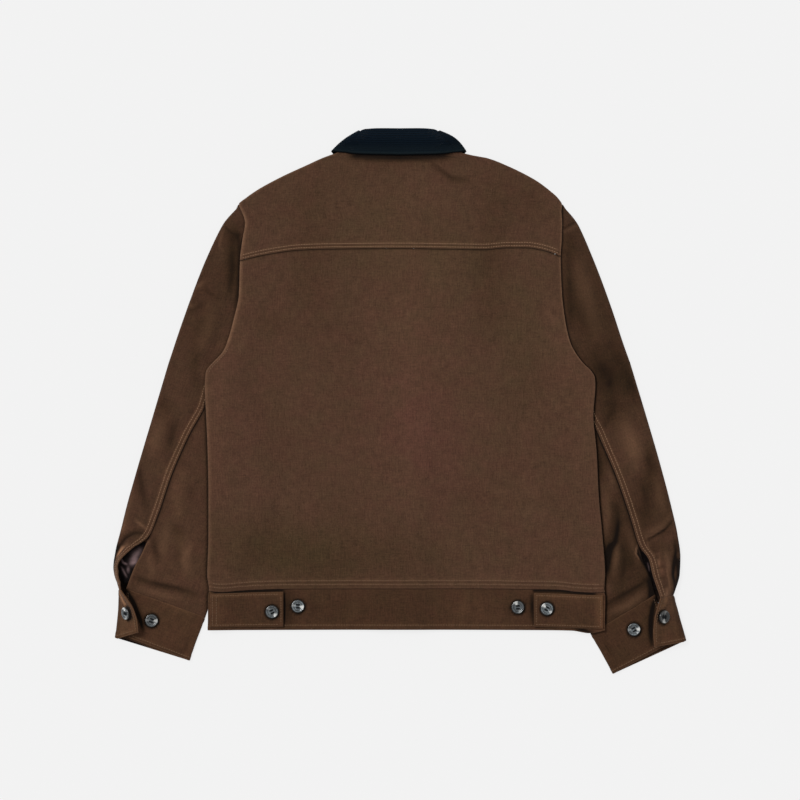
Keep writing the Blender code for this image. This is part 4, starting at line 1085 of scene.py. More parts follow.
class Wire:
    """A node's output, on which arithmetic adds Math nodes."""

    def __init__(self, tree, socket):
        self.tree, self.socket = tree, socket

    def math(self, operation, *values, clamp=False):
        made = self.tree.nodes.new("ShaderNodeMath")
        made.operation = operation
        made.use_clamp = clamp
        for place, value in zip(made.inputs, values):
            join(self.tree, place, value)
        return Wire(self.tree, made.outputs[0])

    def __add__(self, other):
        return self.math("ADD", self, other)

    def __sub__(self, other):
        return self.math("SUBTRACT", self, other)

    def __rsub__(self, other):
        return self.math("SUBTRACT", other, self)

    def __mul__(self, other):
        return self.math("MULTIPLY", self, other)

    def __truediv__(self, other):
        return self.math("DIVIDE", self, other)

    __radd__ = __add__
    __rmul__ = __mul__

    def sine(self):
        return self.math("SINE", self)

    def cosine(self):
        return self.math("COSINE", self)

    def root(self):
        return self.math("SQRT", self)

    def clamped(self):
        return self.math("ADD", self, 0.0, clamp=True)


def join(tree, socket, value):
    if isinstance(value, Wire):
        tree.links.new(value.socket, socket)
    else:
        socket.default_value = value


class Finish:
    """A material whose nodes are added one by one."""

    def __init__(self, name, **constants):
        self.material = bpy.data.materials.new(name)
        self.material.use_nodes = True
        self.tree = self.material.node_tree
        self.shader = self.tree.nodes["Principled BSDF"]
        for socket, value in constants.items():
            self.shader.inputs[socket.replace("_", " ")].default_value = value

    def node(self, kind, settings=None, values=None, output=0):
        """One node: its settings are set first, then its sockets' values or links."""
        made = self.tree.nodes.new(kind)
        for name, value in (settings or {}).items():
            if name == "stops":
                set_stops(made.color_ramp, value)
            else:
                setattr(made, name, value)
        for name, value in (values or {}).items():
            join(self.tree, made.inputs[name], value)
        return Wire(self.tree, made.outputs[output])

    def field(self, name, output="Fac"):
        return self.node("ShaderNodeAttribute", {"attribute_name": name}, output=output)

    def noise(self, place, scale, detail=2.0, rough=0.5, warp=0.0):
        return self.node("ShaderNodeTexNoise", {"noise_dimensions": "3D"},
                         {"Vector": place, "Scale": scale, "Detail": detail, "Roughness": rough,
                          "Distortion": warp})

    def scaled(self, place, factors):
        return self.node("ShaderNodeVectorMath", {"operation": "MULTIPLY"}, {0: place, 1: factors})

    def parts(self, place):
        split = self.tree.nodes.new("ShaderNodeSeparateXYZ")
        join(self.tree, split.inputs[0], place)
        return [Wire(self.tree, out) for out in split.outputs]

    def ramp(self, value, *stops):
        return self.node("ShaderNodeValToRGB", {"stops": stops}, {"Fac": value})

    def grey(self, value):
        """A colour that has a value in all its channels."""
        return self.node("ShaderNodeCombineXYZ", None, {0: value, 1: value, 2: value})

    def mix(self, share, first, second, blend="MIX"):
        """A Mix node on colours."""
        made = self.tree.nodes.new("ShaderNodeMix")
        made.data_type = "RGBA"
        made.blend_type = blend
        join(self.tree, made.inputs["Factor"], share)
        join(self.tree, made.inputs[6], first)
        join(self.tree, made.inputs[7], second)
        return Wire(self.tree, made.outputs[2])

    def shown(self, colour=None, roughness=None, height=None, depth=0.0005, strength=1.0):
        """Joins the colour, roughness and bump height to the shader."""
        if colour is not None:
            join(self.tree, self.shader.inputs["Base Color"], colour)
        if roughness is not None:
            join(self.tree, self.shader.inputs["Roughness"], roughness)
        if height is not None:
            bump = self.node("ShaderNodeBump", None,
                             {"Height": height, "Distance": depth, "Strength": strength})
            join(self.tree, self.shader.inputs["Normal"], bump)
        return self.material


def set_stops(ramp, stops):
    while len(ramp.elements) > 1:
        ramp.elements.remove(ramp.elements[-1])
    for number, (place, colour) in enumerate(stops):
        stop = ramp.elements[0] if number == 0 else ramp.elements.new(place)
        stop.position = place
        stop.color = (*colour, 1.0) if hasattr(colour, "__len__") else (colour, colour, colour, 1.0)


def tint(colour, factor, warmth=0.0):
    """A colour made lighter or darker, and warmer or cooler."""
    return (colour[0] * factor * (1 + warmth), colour[1] * factor,
            colour[2] * factor * (1 - warmth), 1.0)


WEAVE_PITCH = 0.0011  # metres from one thread of the canvas to the next


def canvas(name, colour):
    """Brushed cotton duck, mottled by washing, with wear and painted highlights on its ridges and
    painted shade in its troughs.
    """
    cloth = Finish(name, Specular_IOR_Level=0.12, Sheen_Weight=0.04, Sheen_Roughness=0.5)
    grain = cloth.field("grain", "Vector")
    across, along, _ = cloth.parts(grain)
    fade = cloth.noise(grain, 13.0, 2.0)
    hue = cloth.noise(cloth.scaled(grain, (1.0, 1.0, 3.0)), 32.0, 2.0, 0.6)
    blotch = cloth.noise(grain, 85.0, 4.0, 0.65)
    nap = cloth.noise(cloth.scaled(grain, (1.0, 0.7, 1.0)), 480.0, 3.0, 0.7)
    slub = cloth.noise(cloth.scaled(grain, (1.0, 0.09, 1.0)), 620.0, 2.0, 0.6)
    weft = cloth.noise(cloth.scaled(grain, (0.12, 1.0, 1.0)), 620.0, 2.0, 0.6)
    fleck = cloth.noise(grain, 900.0, 1.0)
    base = cloth.mix(fade, tint(colour, 0.88, 0.02), tint(colour, 1.12, -0.02))
    base = cloth.mix(cloth.ramp(hue, (0.36, 0.0), (0.64, 1.0)), base,
                     cloth.mix(1.0, base, (1.06, 0.965, 1.03, 1.0), "MULTIPLY"))
    base = cloth.scaled(base, cloth.field("hue", "Vector"))
    tone = cloth.field("tone")
    light = (0.55 * blotch + 1.1 * nap + 0.75 * slub + 0.6 * weft - 0.5) * (1.0 + tone)
    base = cloth.mix(1.0, base, cloth.grey(light), "MULTIPLY")
    # Wear and painted highlights, brighter still where painted gleams raise the tone.
    wear_and_highlight = (cloth.field("wear_and_highlight") * (0.35 + 1.3 * nap)).clamped()
    pale = cloth.grey(1.0 + tone.math("MAXIMUM", tone, 0.0))
    base = cloth.mix(wear_and_highlight, base, cloth.mix(1.0, tint(colour, 2.6, -0.03), pale, "MULTIPLY"))
    speck = cloth.ramp(fleck + 0.35 * blotch, (0.875, 0.0), (0.93, 1.0))
    base = cloth.mix(0.5 * speck, base, tint(colour, 2.6, -0.1))
    # Painted shade.
    dark = (cloth.field("shade") * 0.97).clamped()
    base = cloth.mix(dark, base, tint(colour, 0.1, 0.1))
    turns = 2 * math.pi / WEAVE_PITCH
    threads = (across * turns).sine() * (along * turns).sine()
    height = 0.25 * threads + 1.2 * nap + 0.5 * fleck + 1.8 * blotch
    return cloth.shown(base, 0.86 + 0.1 * nap, height, 0.0005)


def corduroy(name, colour, pitch):
    """Cotton corduroy: rounded wales with brushed pile and dark valleys between them."""
    cloth = Finish(name, Specular_IOR_Level=0.06, Sheen_Weight=0.04, Sheen_Roughness=0.4)
    grain = cloth.field("grain", "Vector")
    across, _, _ = cloth.parts(grain)
    wale = 0.5 + 0.5 * (across * (2 * math.pi / (pitch * MM))).cosine()
    pile = cloth.noise(cloth.scaled(grain, (1.6, 0.6, 1.0)), 900.0, 2.0, 0.6)
    fade = cloth.noise(grain, 25.0, 3.0)
    light = (0.35 + 0.75 * wale) * (0.6 + 0.45 * pile + 0.35 * fade)
    fleck = cloth.ramp(cloth.noise(grain, 1500.0, 1.0), (0.7, 0.0), (0.78, 1.0))
    base = cloth.mix(light, tint(colour, 0.25), tint(colour, 2.1))
    base = cloth.mix(0.6 * fleck * wale, base, tint(colour, 6.0))
    # Painted highlights from the cloth's pale marks, and painted shade.
    highlight_colour = (colour[0] * 6.5, colour[1] * 4.2, colour[2] * 2.6, 1.0)
    base = cloth.mix((cloth.field("wear_and_highlight") * (0.4 + 1.2 * pile)).clamped(), base, highlight_colour)
    base = cloth.mix((cloth.field("shade") * 0.95).clamped(), base, tint(colour, 0.1))
    return cloth.shown(base, 0.9, wale + 0.45 * pile, 0.0009)


def satin(name, colour):
    """Twill satin lining with a soft gloss."""
    cloth = Finish(name, Roughness=0.42, Specular_IOR_Level=0.1)
    grain = cloth.field("grain", "Vector")
    across, along, _ = cloth.parts(grain)
    twill = ((across + along) * (2 * math.pi / 0.0006)).sine()
    crease = cloth.noise(cloth.scaled(grain, (1.0, 0.3, 1.0)), 120.0, 3.0)
    base = cloth.mix(crease, tint(colour, 0.6), tint(colour, 1.5))
    # Painted shade, which darkens most of the satin.
    base = cloth.mix(cloth.field("shade").clamped(), base, tint(colour, 0.02))
    return cloth.shown(base, None, 0.12 * twill + 1.6 * crease, 0.0009)


def thread(name, colour):
    """Twisted sewing thread."""
    strand = Finish(name, Roughness=0.7, Specular_IOR_Level=0.2, Sheen_Weight=0.03)
    grain = strand.field("grain", "Vector")
    along, around, _ = strand.parts(grain)
    twist = (along * (2 * math.pi / 0.0009) + around * 2 * math.pi).sine()
    shade = strand.noise(grain, 60.0, 1.0)
    base = strand.mix(0.5 + 0.25 * twist + 0.4 * (shade - 0.5), tint(colour, 0.72),
                      tint(colour, 1.25))
    return strand.shown(base, None, twist, 0.0001)


def horn(name, colour):
    """Polished horn, clouded grey-blue, with a painted highlight wedge across its turned face,
    painted light and shade in rings, and a painted dark rim.
    """
    finish = Finish(name, Coat_Weight=0.8, Coat_Roughness=0.08)
    place = finish.node("ShaderNodeTexCoord", output="Object")
    cloud = finish.noise(place, 210.0, 4.0, 0.65, 1.2)
    streak = finish.noise(finish.scaled(place, (1.0, 3.0, 1.0)), 330.0, 3.0, 0.6, 0.8)
    base = finish.ramp(0.6 * cloud + 0.4 * streak, (0.4, tint(colour, 0.35)[:3]),
                       (0.48, tint(colour, 0.75)[:3]),
                       (0.56, tint(colour, 1.7)[:3]))
    across, along, glint_strength = finish.parts(finish.field("face", "Vector"))
    reach = (across * across + along * along).root()
    # Painted light and shade in rings across the face and rim, darkest at the outer edge.
    ring = finish.ramp(reach, (0.0, 1.4), (0.44, 1.35), (0.56, 0.9), (0.61, 0.35), (0.67, 0.45),
                       (0.75, 1.9),
                       (0.83, 1.3), (0.87, 0.15), (0.92, 0.02))
    base = finish.mix(1.0, base, ring, "MULTIPLY")
    tone = 1.0 + finish.field("tone")
    base = finish.mix(1.0, base, finish.node("ShaderNodeCombineXYZ", None,
                                             {0: tone, 1: tone, 2: tone}), "MULTIPLY")
    # A painted highlight wedge across the face, with a weaker one opposite it.
    turn = 0.5 + 0.5 * (across / (reach + 0.02))
    wedge = finish.ramp(turn, (0.0, 0.55), (0.04, 0.0), (0.93, 0.0), (0.985, 1.0))
    wedge = wedge * finish.ramp(reach, (0.2, 0.0), (0.34, 1.0), (0.88, 1.0), (0.94, 0.0)) * glint_strength
    base = finish.mix(wedge.clamped(), base, (0.72, 0.72, 0.69, 1.0))
    return finish.shown(base, 0.2 + 0.12 * streak, streak, 0.00012)


# ---- sizes and colours that a user may change ----

class JacketSizes(bpy.types.PropertyGroup):
    """Sizes of the stitching, the corduroy and the stage."""

    stitch_pitch: bpy.props.FloatProperty(
        name="Stitch pitch", description="From the start of one stitch to the next", default=0.0036,
        min=0.002, max=0.008, precision=4, subtype="DISTANCE", unit="LENGTH")
    stitch_length: bpy.props.FloatProperty(
        name="Stitch length", description="How much of the pitch shows as thread", default=0.0029,
        min=0.001, max=0.007, precision=4, subtype="DISTANCE", unit="LENGTH")
    thread_radius: bpy.props.FloatProperty(
        name="Thread radius", description="Half the thickness of the topstitching thread",
                                           default=0.00045,
        min=0.0002, max=0.001, precision=5, subtype="DISTANCE", unit="LENGTH")
    wale_pitch: bpy.props.FloatProperty(
        name="Wale pitch", description="From one ridge of the corduroy to the next", default=0.0026,
        min=0.001, max=0.006, precision=4, subtype="DISTANCE", unit="LENGTH")
    button_radius: bpy.props.FloatProperty(
        name="Button radius", description="Half the width of each button", default=0.0093,
        min=0.006, max=0.01, precision=4, subtype="DISTANCE", unit="LENGTH")
    camera_height: bpy.props.FloatProperty(
        name="Camera height", description="How far the camera stands above the floor", default=8.4,
        min=1.0, max=20.0, subtype="DISTANCE", unit="LENGTH")
    camera_lens: bpy.props.FloatProperty(
        name="Camera lens", description="Focal length in millimetres", default=270.0, min=20.0,
                                         max=600.0)


def colour_property(name, description, default):
    return bpy.props.FloatVectorProperty(name=name, description=description, default=default,
                                         size=3, min=0.0,
                                         max=1.0, subtype="COLOR")


class JacketColours(bpy.types.PropertyGroup):
    """Base colours of the cloths, threads and buttons."""

    canvas: colour_property("Canvas", "Brushed canvas of the body and sleeves",
                            (0.0795, 0.0405, 0.0220))
    sleeve: colour_property("Sleeve canvas", "Canvas of the sleeves", (0.0640, 0.0315, 0.0165))
    band: colour_property("Band canvas", "Darker canvas of the waistband and cuffs",
                          (0.0580, 0.0280, 0.0133))
    corduroy: colour_property("Corduroy", "Collar corduroy", (0.0015, 0.0040, 0.0074))
    lining: colour_property("Lining", "Satin lining of the sleeves", (0.30, 0.20, 0.20))
    horn: colour_property("Horn", "Buttons", (0.070, 0.082, 0.088))
    thread: colour_property("Topstitching", "Topstitching thread", (0.30, 0.175, 0.098))
    button_thread: colour_property("Button thread", "Thread that holds the buttons",
                                   (0.002, 0.0025, 0.004))
    floor: colour_property("Floor", "Floor under the jacket, which also glows like a light table",
                           (0.08, 0.08, 0.08))


def sizes():
    return bpy.context.scene.jacket_sizes


def finish_of(name):
    """The material of this name, made the first time it is asked for."""
    known = bpy.data.materials.get(name)
    if known is not None:
        return known
    colours = bpy.context.scene.jacket_colours
    makers = {
        "body_canvas": lambda: canvas(name, colours.canvas),
        "sleeve_canvas": lambda: canvas(name, colours.sleeve),
        "band_canvas": lambda: canvas(name, colours.band),
        "collar_corduroy": lambda: corduroy(name, colours.corduroy, sizes().wale_pitch / MM),
        "lining_satin": lambda: satin(name, colours.lining),
        "button_horn": lambda: horn(name, colours.horn),
        "topstitch_thread": lambda: thread(name, colours.thread),
        "band_thread": lambda: thread(name, tint(colours.thread, 0.6)[:3]),
        "button_thread": lambda: thread(name, colours.button_thread),
    }
    return makers[name]()


def stitched(name, rows, slot_name):
    size = sizes()
    on_band = slot_name == "canvas_band" or name.startswith("back_panel")
    finish = finish_of("band_thread" if on_band else "topstitch_thread")
    return sew(name, rows, finish, size.stitch_pitch / MM,
               size.stitch_length / MM, size.thread_radius / MM)


def paint_button_shadows(cloth, *nodes):
    """Paints a shadow on the cloth round each button that stands on it."""
    for node in nodes:
        (x, y, z), _ = button_place(node)
        gap = np.hypot(cloth.grid[..., 0] - x - 0.3, cloth.grid[..., 1] - y + 0.5)
        under = np.abs(cloth.grid[..., 2] - z) < 4.0
        cloth.shade = np.maximum(cloth.shade,
                                 under * np.exp(-(np.maximum(gap - 10.1, 0) / 1.5) ** 2))


def placed(cloth, name, node, finish, slot_name, flat, rests_on, rows=(), area=None):
    """Makes a cut piece and its stitching, and hides the frame's part that it stands for. Its cut
    and what it lies on are not used."""
    made = cloth.piece(name, finish_of(finish))
    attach(made, "root")
    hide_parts(node)
    with_pieces = [stitched(name + "_stitching", rows, slot_name)] if len(rows) else []
    return made


# ---- buttons ----

def button_place(node):
    """Where a button of the frame stands: the middle of its back, and the way it faces."""
    mesh = bpy.data.objects[node].data
    points = np.unique(np.round(np.array([vertex.co for vertex in mesh.vertices]) / MM, 3), axis=0)
    middle = points.mean(axis=0)
    normal = np.linalg.svd(points - middle)[2][2]
    if normal[2] * (-1 if node.startswith("front") else 1) < 0:
        normal = -normal
    height = (points - middle) @ normal
    back = points[height < height.min() + 0.4]
    return back.mean(axis=0), normal


HOLE_X, HOLE_Y, HOLE_RADIUS = 2.3, 2.05, 0.8
# How far each button is turned on its thread, which way its painted highlight wedge lies and how
# strong it is, and its tone
BUTTON_LOOK = {
    "waist_tab_button_left": (24, -42, 0.5, -0.38),
    "waist_button_left": (0, -10, 0.95, -0.05),
    "waist_button_right": (2, 114, 0.85, -0.5),
    "waist_tab_button_right": (-32, 134, 0.95, 0.08),
    "cuff_button_left": (-22, -4, 0.6, -0.55),
    "cuff_button_right": (34, 4, 0.85, -0.1),
    "cuff_flap_button_left": (78, 100, 0.9, -0.05),
    "cuff_flap_button_right": (84, -100, 0.5, -0.95),
}
FRONT_BUTTON_LOOK = (3, 60, 0.4, 0.0)
BUTTON_LEAN = {"cuff_flap_button_left": -14.0,
               "cuff_flap_button_right": 8.0}  # past the frame's, about Y
BUTTON_PROFILE = ((0.0, 0.0), (0.55, 0.0), (0.86, 0.03), (0.96, 0.2), (1.0, 0.48), (0.985, 0.75),
                  (0.94, 0.93),
                  (0.875, 1.0), (0.81, 0.97), (0.76, 0.86), (0.71, 0.7), (0.66, 0.61),
                  (0.58, 0.585), (0.0, 0.6))


def button_form(radius):
    """A turned button with a raised rim and four holes, standing on the origin: its points and
    triangles."""
    sides = 48
    rings = []
    for reach, height in BUTTON_PROFILE[1:-1]:
        angle = 2 * math.pi * np.arange(sides) / sides
        rings.append(np.stack([np.cos(angle) * reach * radius, np.sin(angle) * reach * radius,
                               np.full(sides, height * BUTTON_HEIGHT)], -1))
    points = np.concatenate(rings)
    faces = []
    for ring in range(len(rings) - 1):
        for k in range(sides):
            a, b = ring * sides + k, ring * sides + (k + 1) % sides
            faces.append((a, b, b + sides, a + sides))
    last = (len(rings) - 1) * sides
    faces.append(tuple(range(sides))[::-1])
    faces.append(tuple(last + k for k in range(sides)))
    body = plain_object("button_blank", points, faces)
    cutter_points, cutter_faces = [], []
    for x in (-HOLE_X, HOLE_X):
        for y in (-HOLE_Y, HOLE_Y):
            angle = 2 * math.pi * np.arange(16) / 16
            start = 32 * (len(cutter_points) // 2)
            for z in (-1.0, BUTTON_HEIGHT + 1):
                cutter_points.append(np.stack([x + HOLE_RADIUS * np.cos(angle),
                                               y + HOLE_RADIUS * np.sin(angle),
                                               np.full(16, z)], -1))
            for k in range(16):
                m = (k + 1) % 16
                cutter_faces.append((start + k, start + m, start + 16 + m, start + 16 + k))
            cutter_faces.append(tuple(start + k for k in range(16))[::-1])
            cutter_faces.append(tuple(start + 16 + k for k in range(16)))
    cutter = plain_object("button_drill", np.concatenate(cutter_points), cutter_faces)
    cut = body.modifiers.new("holes", "BOOLEAN")
    cut.operation = "DIFFERENCE"
    cut.solver = "EXACT"
    cut.object = cutter
    bpy.context.view_layer.update()
    cut_body = body.evaluated_get(bpy.context.evaluated_depsgraph_get())
    done = bpy.data.meshes.new_from_object(cut_body)
    done.calc_loop_triangles()
    points = np.array([vertex.co for vertex in done.vertices]) / MM
    faces = np.array([triangle.vertices for triangle in done.loop_triangles])
    for leftover in (body, cutter):
        bpy.data.objects.remove(leftover)
    return points, faces


def plain_object(name, points, faces):
    mesh = bpy.data.meshes.new(name)
    mesh.from_pydata((np.asarray(points) * MM).tolist(), [], faces)
    made = bpy.data.objects.new(name, mesh)
    bpy.context.scene.collection.objects.link(made)
    return made


def bar_form():
    """The thread through a button's four holes, as two bars of three strands, and the shank
    beneath."""
    parts = []
    for y in (-HOLE_Y, HOLE_Y):
        for strand in (-0.5, 0.0, 0.5):
            t = np.linspace(-1, 1, 11)
            bow = BUTTON_HEIGHT * (0.45 + 0.42 * (1 - np.abs(t) ** 3))
            side = y + strand * (0.9 + 0.35 * (1 - t * t))
            parts.append(tube(np.stack([t * (HOLE_X + 0.3), side, bow], -1), 0.6, 6))
    for x in (-HOLE_X, HOLE_X):
        for y in (-HOLE_Y, HOLE_Y):
            parts.append(tube([(x, y, BUTTON_HEIGHT * 0.5), (x, y, 0.2), (x * 0.4, y * 0.4, -1.2)],
                              0.5, 6))
    return joined(parts)


def turned(points, degrees):
    """Points turned about Z."""
    c, s = math.cos(math.radians(degrees)), math.sin(math.radians(degrees))
    return points @ np.array([[c, s, 0], [-s, c, 0], [0, 0, 1]])


def stood(points, back, normal):
    """Points about the origin, turned to face along normal and moved to a button's place."""
    side = unit(np.cross((0.0, 1.0, 0.0), normal))
    other = np.cross(normal, side)
    return back + points @ np.array([side, other, normal])


# ---- folds, as a path, widths to its left and right, and a height ----

# Painted shadows that the waist tabs cast on the band, beside their ends and below the right one.
TAB_SHADOWS = (
    (((-162.6, -266), (-162.6, -290), (-162.2, -314)), (1.5, 1.5), 1.5),
    (((-157, -268), (-157, -290), (-156, -312)), (7.5, 7.5), 0.62),
    (((186, -270), (186, -290), (186.5, -312)), (2.0, 2.0), 1.5),
    (((182, -272), (181, -300)), (5.0, 5.0), 0.35),
    (((246, -318.5), (258, -320), (268, -323)), (2.0, 2.0), 1.3),
)
BAND_FOLDS = (
    (((-120, -276), (-118, -300)), (5.0, 7.0), -0.5),
    (((-60, -272), (-66, -306)), (6.0, 8.0), 0.5),
    (((24, -270), (30, -304)), (6.0, 8.0), -0.4),
    (((92, -272), (86, -306)), (7.0, 7.0), 0.5),
    (((150, -270), (158, -304)), (6.0, 8.0), -0.5),
)
BACK_TONES = (
    (((16, 270), (20, 150), (28, 40), (24, -100), (34, -150)), (50.0, 50.0), 0.17),
    (((-126, 310), (-126, 200), (-118, 120)), (34.0, 34.0), -0.13),
    (((132, 310), (128, 200), (126, 100)), (26.0, 26.0), -0.16),
    (((-226, 240), (-236, 110), (-262, 10), (-262, -120)), (20.0, 24.0), 0.16),
    (((-250, -205), (-110, -226), (-20, -220), (24, -205)), (44.0, 44.0), -0.24),
    (((222, 90), (256, 20), (262, -100)), (26.0, 26.0), 0.1),
    (((160, 300), (205, 266)), (30.0, 30.0), -0.14),
    (((-205, 114), (-160, 104)), (16.0, 16.0), -0.12),
    (((-60, 340), (0, 334), (70, 340)), (12.0, 12.0), -0.12),
    (((60, -120), (150, -140), (200, -130)), (24.0, 24.0), -0.05),
)
BACK_HUES = (
    (((30, 20), (44, -60), (56, -110)), (40.0, 40.0), 0.95),
    (((-30, 20), (-14, -90)), (40.0, 40.0), 0.4),
    (((-56, 300), (-40, 230), (10, 210)), (60.0, 60.0), -0.6),
    (((70, 240), (90, 150)), (40.0, 40.0), -0.6),
    (((180, 190), (170, 80), (160, -10)), (34.0, 34.0), -0.65),
    (((-240, 80), (-226, -40), (-220, -150)), (26.0, 26.0), 0.35),
    (((-240, -200), (-160, -215), (-60, -210)), (40.0, 40.0), -0.9),
    (((0, -215), (140, -215)), (30.0, 30.0), -0.3),
)
BAND_TONES = (
    (((283, -272), (284, -318)), (9.0, 9.0), 0.95),
    (((200, -272), (270, -276)), (9.0, 9.0), 0.16),
    (((-262, -275), (-256, -314)), (15.0, 15.0), 0.35),
    (((-130, -290), (-60, -292), (0, -292)), (26.0, 26.0), -0.14),
    (((60, -290), (130, -290)), (26.0, 26.0), 0.12),
)
TAB_HOLES = {"left": (-180, -291, 160), "right": (207, -290, -20)}
# The lit patches of the lining's satin, which is painted in shade everywhere else.
LINING_LIGHT = {
    "left": (
        (((-365.1, -208.6), (-370.6, -215.3), (-373.9, -221.9), (-375, -226.4)), (4.6, 4.6), 0.8),
        (((-376.7, -226.4), (-370.6, -225.3), (-368.3, -220.8)), (2.2, 2.2), 0.6),
        (((-389.5, -220.8), (-387.2, -225.3), (-382.8, -227.5)), (1.4, 1.4), 1.0),
        (((-380.5, -231.8), (-380.5, -238.6)), (2.0, 2.0), 0.55),
        (((-389.5, -231.8), (-386.1, -238.6), (-382.8, -245.1)), (1.4, 1.4), 0.6),
    ),
    "right": (
        (((346.5, -226), (348, -231), (349, -237)), (0.9, 0.9), 0.3),
    ),
}
BACK_FOLDS = (
    (((47, 333), (58, 324), (73, 313.0), (95, 310.0)), (2.6, 6.0), -1.7),
    (((108, -116), (150, -128), (205, -122)), (5.0, 9.0), 0.3),
    (((112, -126), (152, -139), (208, -133)), (4.0, 6.0), -0.22),
    (((120, -146), (165, -158), (211, -150)), (5.0, 8.0), 0.3),
    (((206, 124), (216, 117), (226, 108)), (3.0, 5.0), 0.7),
    (((212, 140), (221, 134), (228, 127)), (3.0, 5.0), 0.6),
    (((-212, 96), (-219, 80), (-226, 66)), (3.0, 5.0), 0.6),
)
UPPER_FOLDS = {
    "left": (
        (((-248, 247), (-236, 237), (-223, 227)), (1.8, 3.0), -1.5),
        (((-246, 244), (-250, 228), (-252, 217), (-248, 211)), (2.2, 2.2), 1.1),
        (((-234, 232), (-232, 220)), (8.0, 8.0), -1.6),
        (((-234, 210), (-234, 180), (-238, 152)), (5.0, 5.0), -1.9),
        (((-286, 157), (-275, 167)), (2.4, 3.4), 1.6),
        (((-273, 157), (-264, 150), (-252, 143)), (3.0, 3.0), -1.1),
        (((-298, 133), (-288, 134)), (3.0, 3.0), 1.4),
        (((-294, 127), (-283, 131), (-272, 137)), (2.4, 3.0), -0.9),
        (((-262, 128), (-268, 100), (-280, 74)), (7.0, 11.0), 1.2),
        (((-250, 110), (-256, 84), (-270, 62)), (6.0, 6.0), -0.5),
        (((-313, -31), (-318, -48), (-323, -65)), (5.0, 7.0), -1.6),
        (((-330, -20), (-336, -44), (-344, -70)), (8.0, 10.0), 1.4),
        (((-365, -92), (-360, -125), (-355, -145)), (5.0, 7.0), -1.8),
        (((-376, -130), (-384, -158), (-391, -178)), (6.0, 5.0), 1.6),
        (((-370, -166), (-362, -172), (-354, -178)), (2.0, 2.4), 1.2),
        (((-352, -185), (-370, -184), (-384, -191), (-395, -210)), (3.4, 4.4), -2.4),
        (((-360, -196), (-378, -203), (-392, -226)), (3.4, 3.4), 1.0),
    ),
    "right": (
        (((224, 238), (237, 246), (251, 254)), (2.2, 1.8), -1.6),
        (((228, 236), (239, 241), (252, 248)), (2.4, 3.4), 0.9),
        (((236, 208), (237, 160), (240, 104)), (6.0, 6.0), -1.5),
        (((250, 190), (262, 150), (276, 96)), (11.0, 13.0), 1.4),
        (((274, 60), (286, 42), (300, 24)), (12.0, 14.0), -2.2),
        (((296, 30), (292, 16)), (5.0, 6.0), -1.4),
        (((299, -8), (292, -24), (285, -40)), (5.0, 6.0), -1.3),
        (((312, -22), (322, -50), (332, -86)), (10.0, 12.0), 1.8),
        (((346, -72), (350, -94)), (6.0, 6.0), -1.1),
        (((338, -112), (344, -136), (346, -152)), (7.0, 7.0), -1.5),
        (((358, -110), (366, -140), (372, -160)), (7.0, 6.0), 1.2),
        (((344, -195), (356, -188), (369, -181), (382, -166)), (1.6, 2.8), -2.2),
        (((342, -186), (356, -180), (368, -173), (378, -160)), (3.4, 3.4), 1.2),
        (((371, -212), (376, -232), (379, -252), (380, -264)), (4.0, 3.0), 1.8),
    ),
}
# Painted shade on the upper sleeves, in their valleys, beside the body and by the slits.
UPPER_PAINTED_SHADE = {
    "left": (
        (((-226, 232), (-224, 200), (-226, 160), (-231, 128)), (4.0, 4.0), 0.9),
        (((-232, 240), (-228, 226)), (6.0, 6.0), 0.5),
        (((-366, -186.2), (-374.5, -187), (-381.5, -189.7), (-385.7, -192.5), (-389.2, -196.7),
          (-391.3, -201.6),
          (-395.5, -207.2)), (1.8, 2.4), 0.85),
        (((-394, -200), (-397, -213), (-399, -221), (-400, -232)), (2.0, 2.0), 1.3),
    ),
    "right": (
        (((226, 232), (224, 180), (224, 130), (233, 94), (248, 70)), (3.0, 3.0), 0.8),
        (((384.3, -194.6), (385.7, -208.6), (384.3, -219.8), (382.2, -231), (380.8, -242.2),
          (382.2, -250.6),
          (382.9, -259), (382.2, -266)), (2.8, 3.6), 1.2),
        (((389, -222), (391, -240), (389.5, -256), (385, -268)), (4.0, 4.0), 2.2),
        (((390, -190), (392, -212)), (3.0, 3.0), 1.0),
        (((345, -192.5), (352, -189.8), (359, -185.5), (371, -177.5), (380, -170)),
         (1.2, 1.8), 0.9),
        (((293, 30), (298, 10)), (7.0, 7.0), 0.4),
        (((268, 40), (280, 20)), (10.0, 10.0), 0.3),
    ),
}
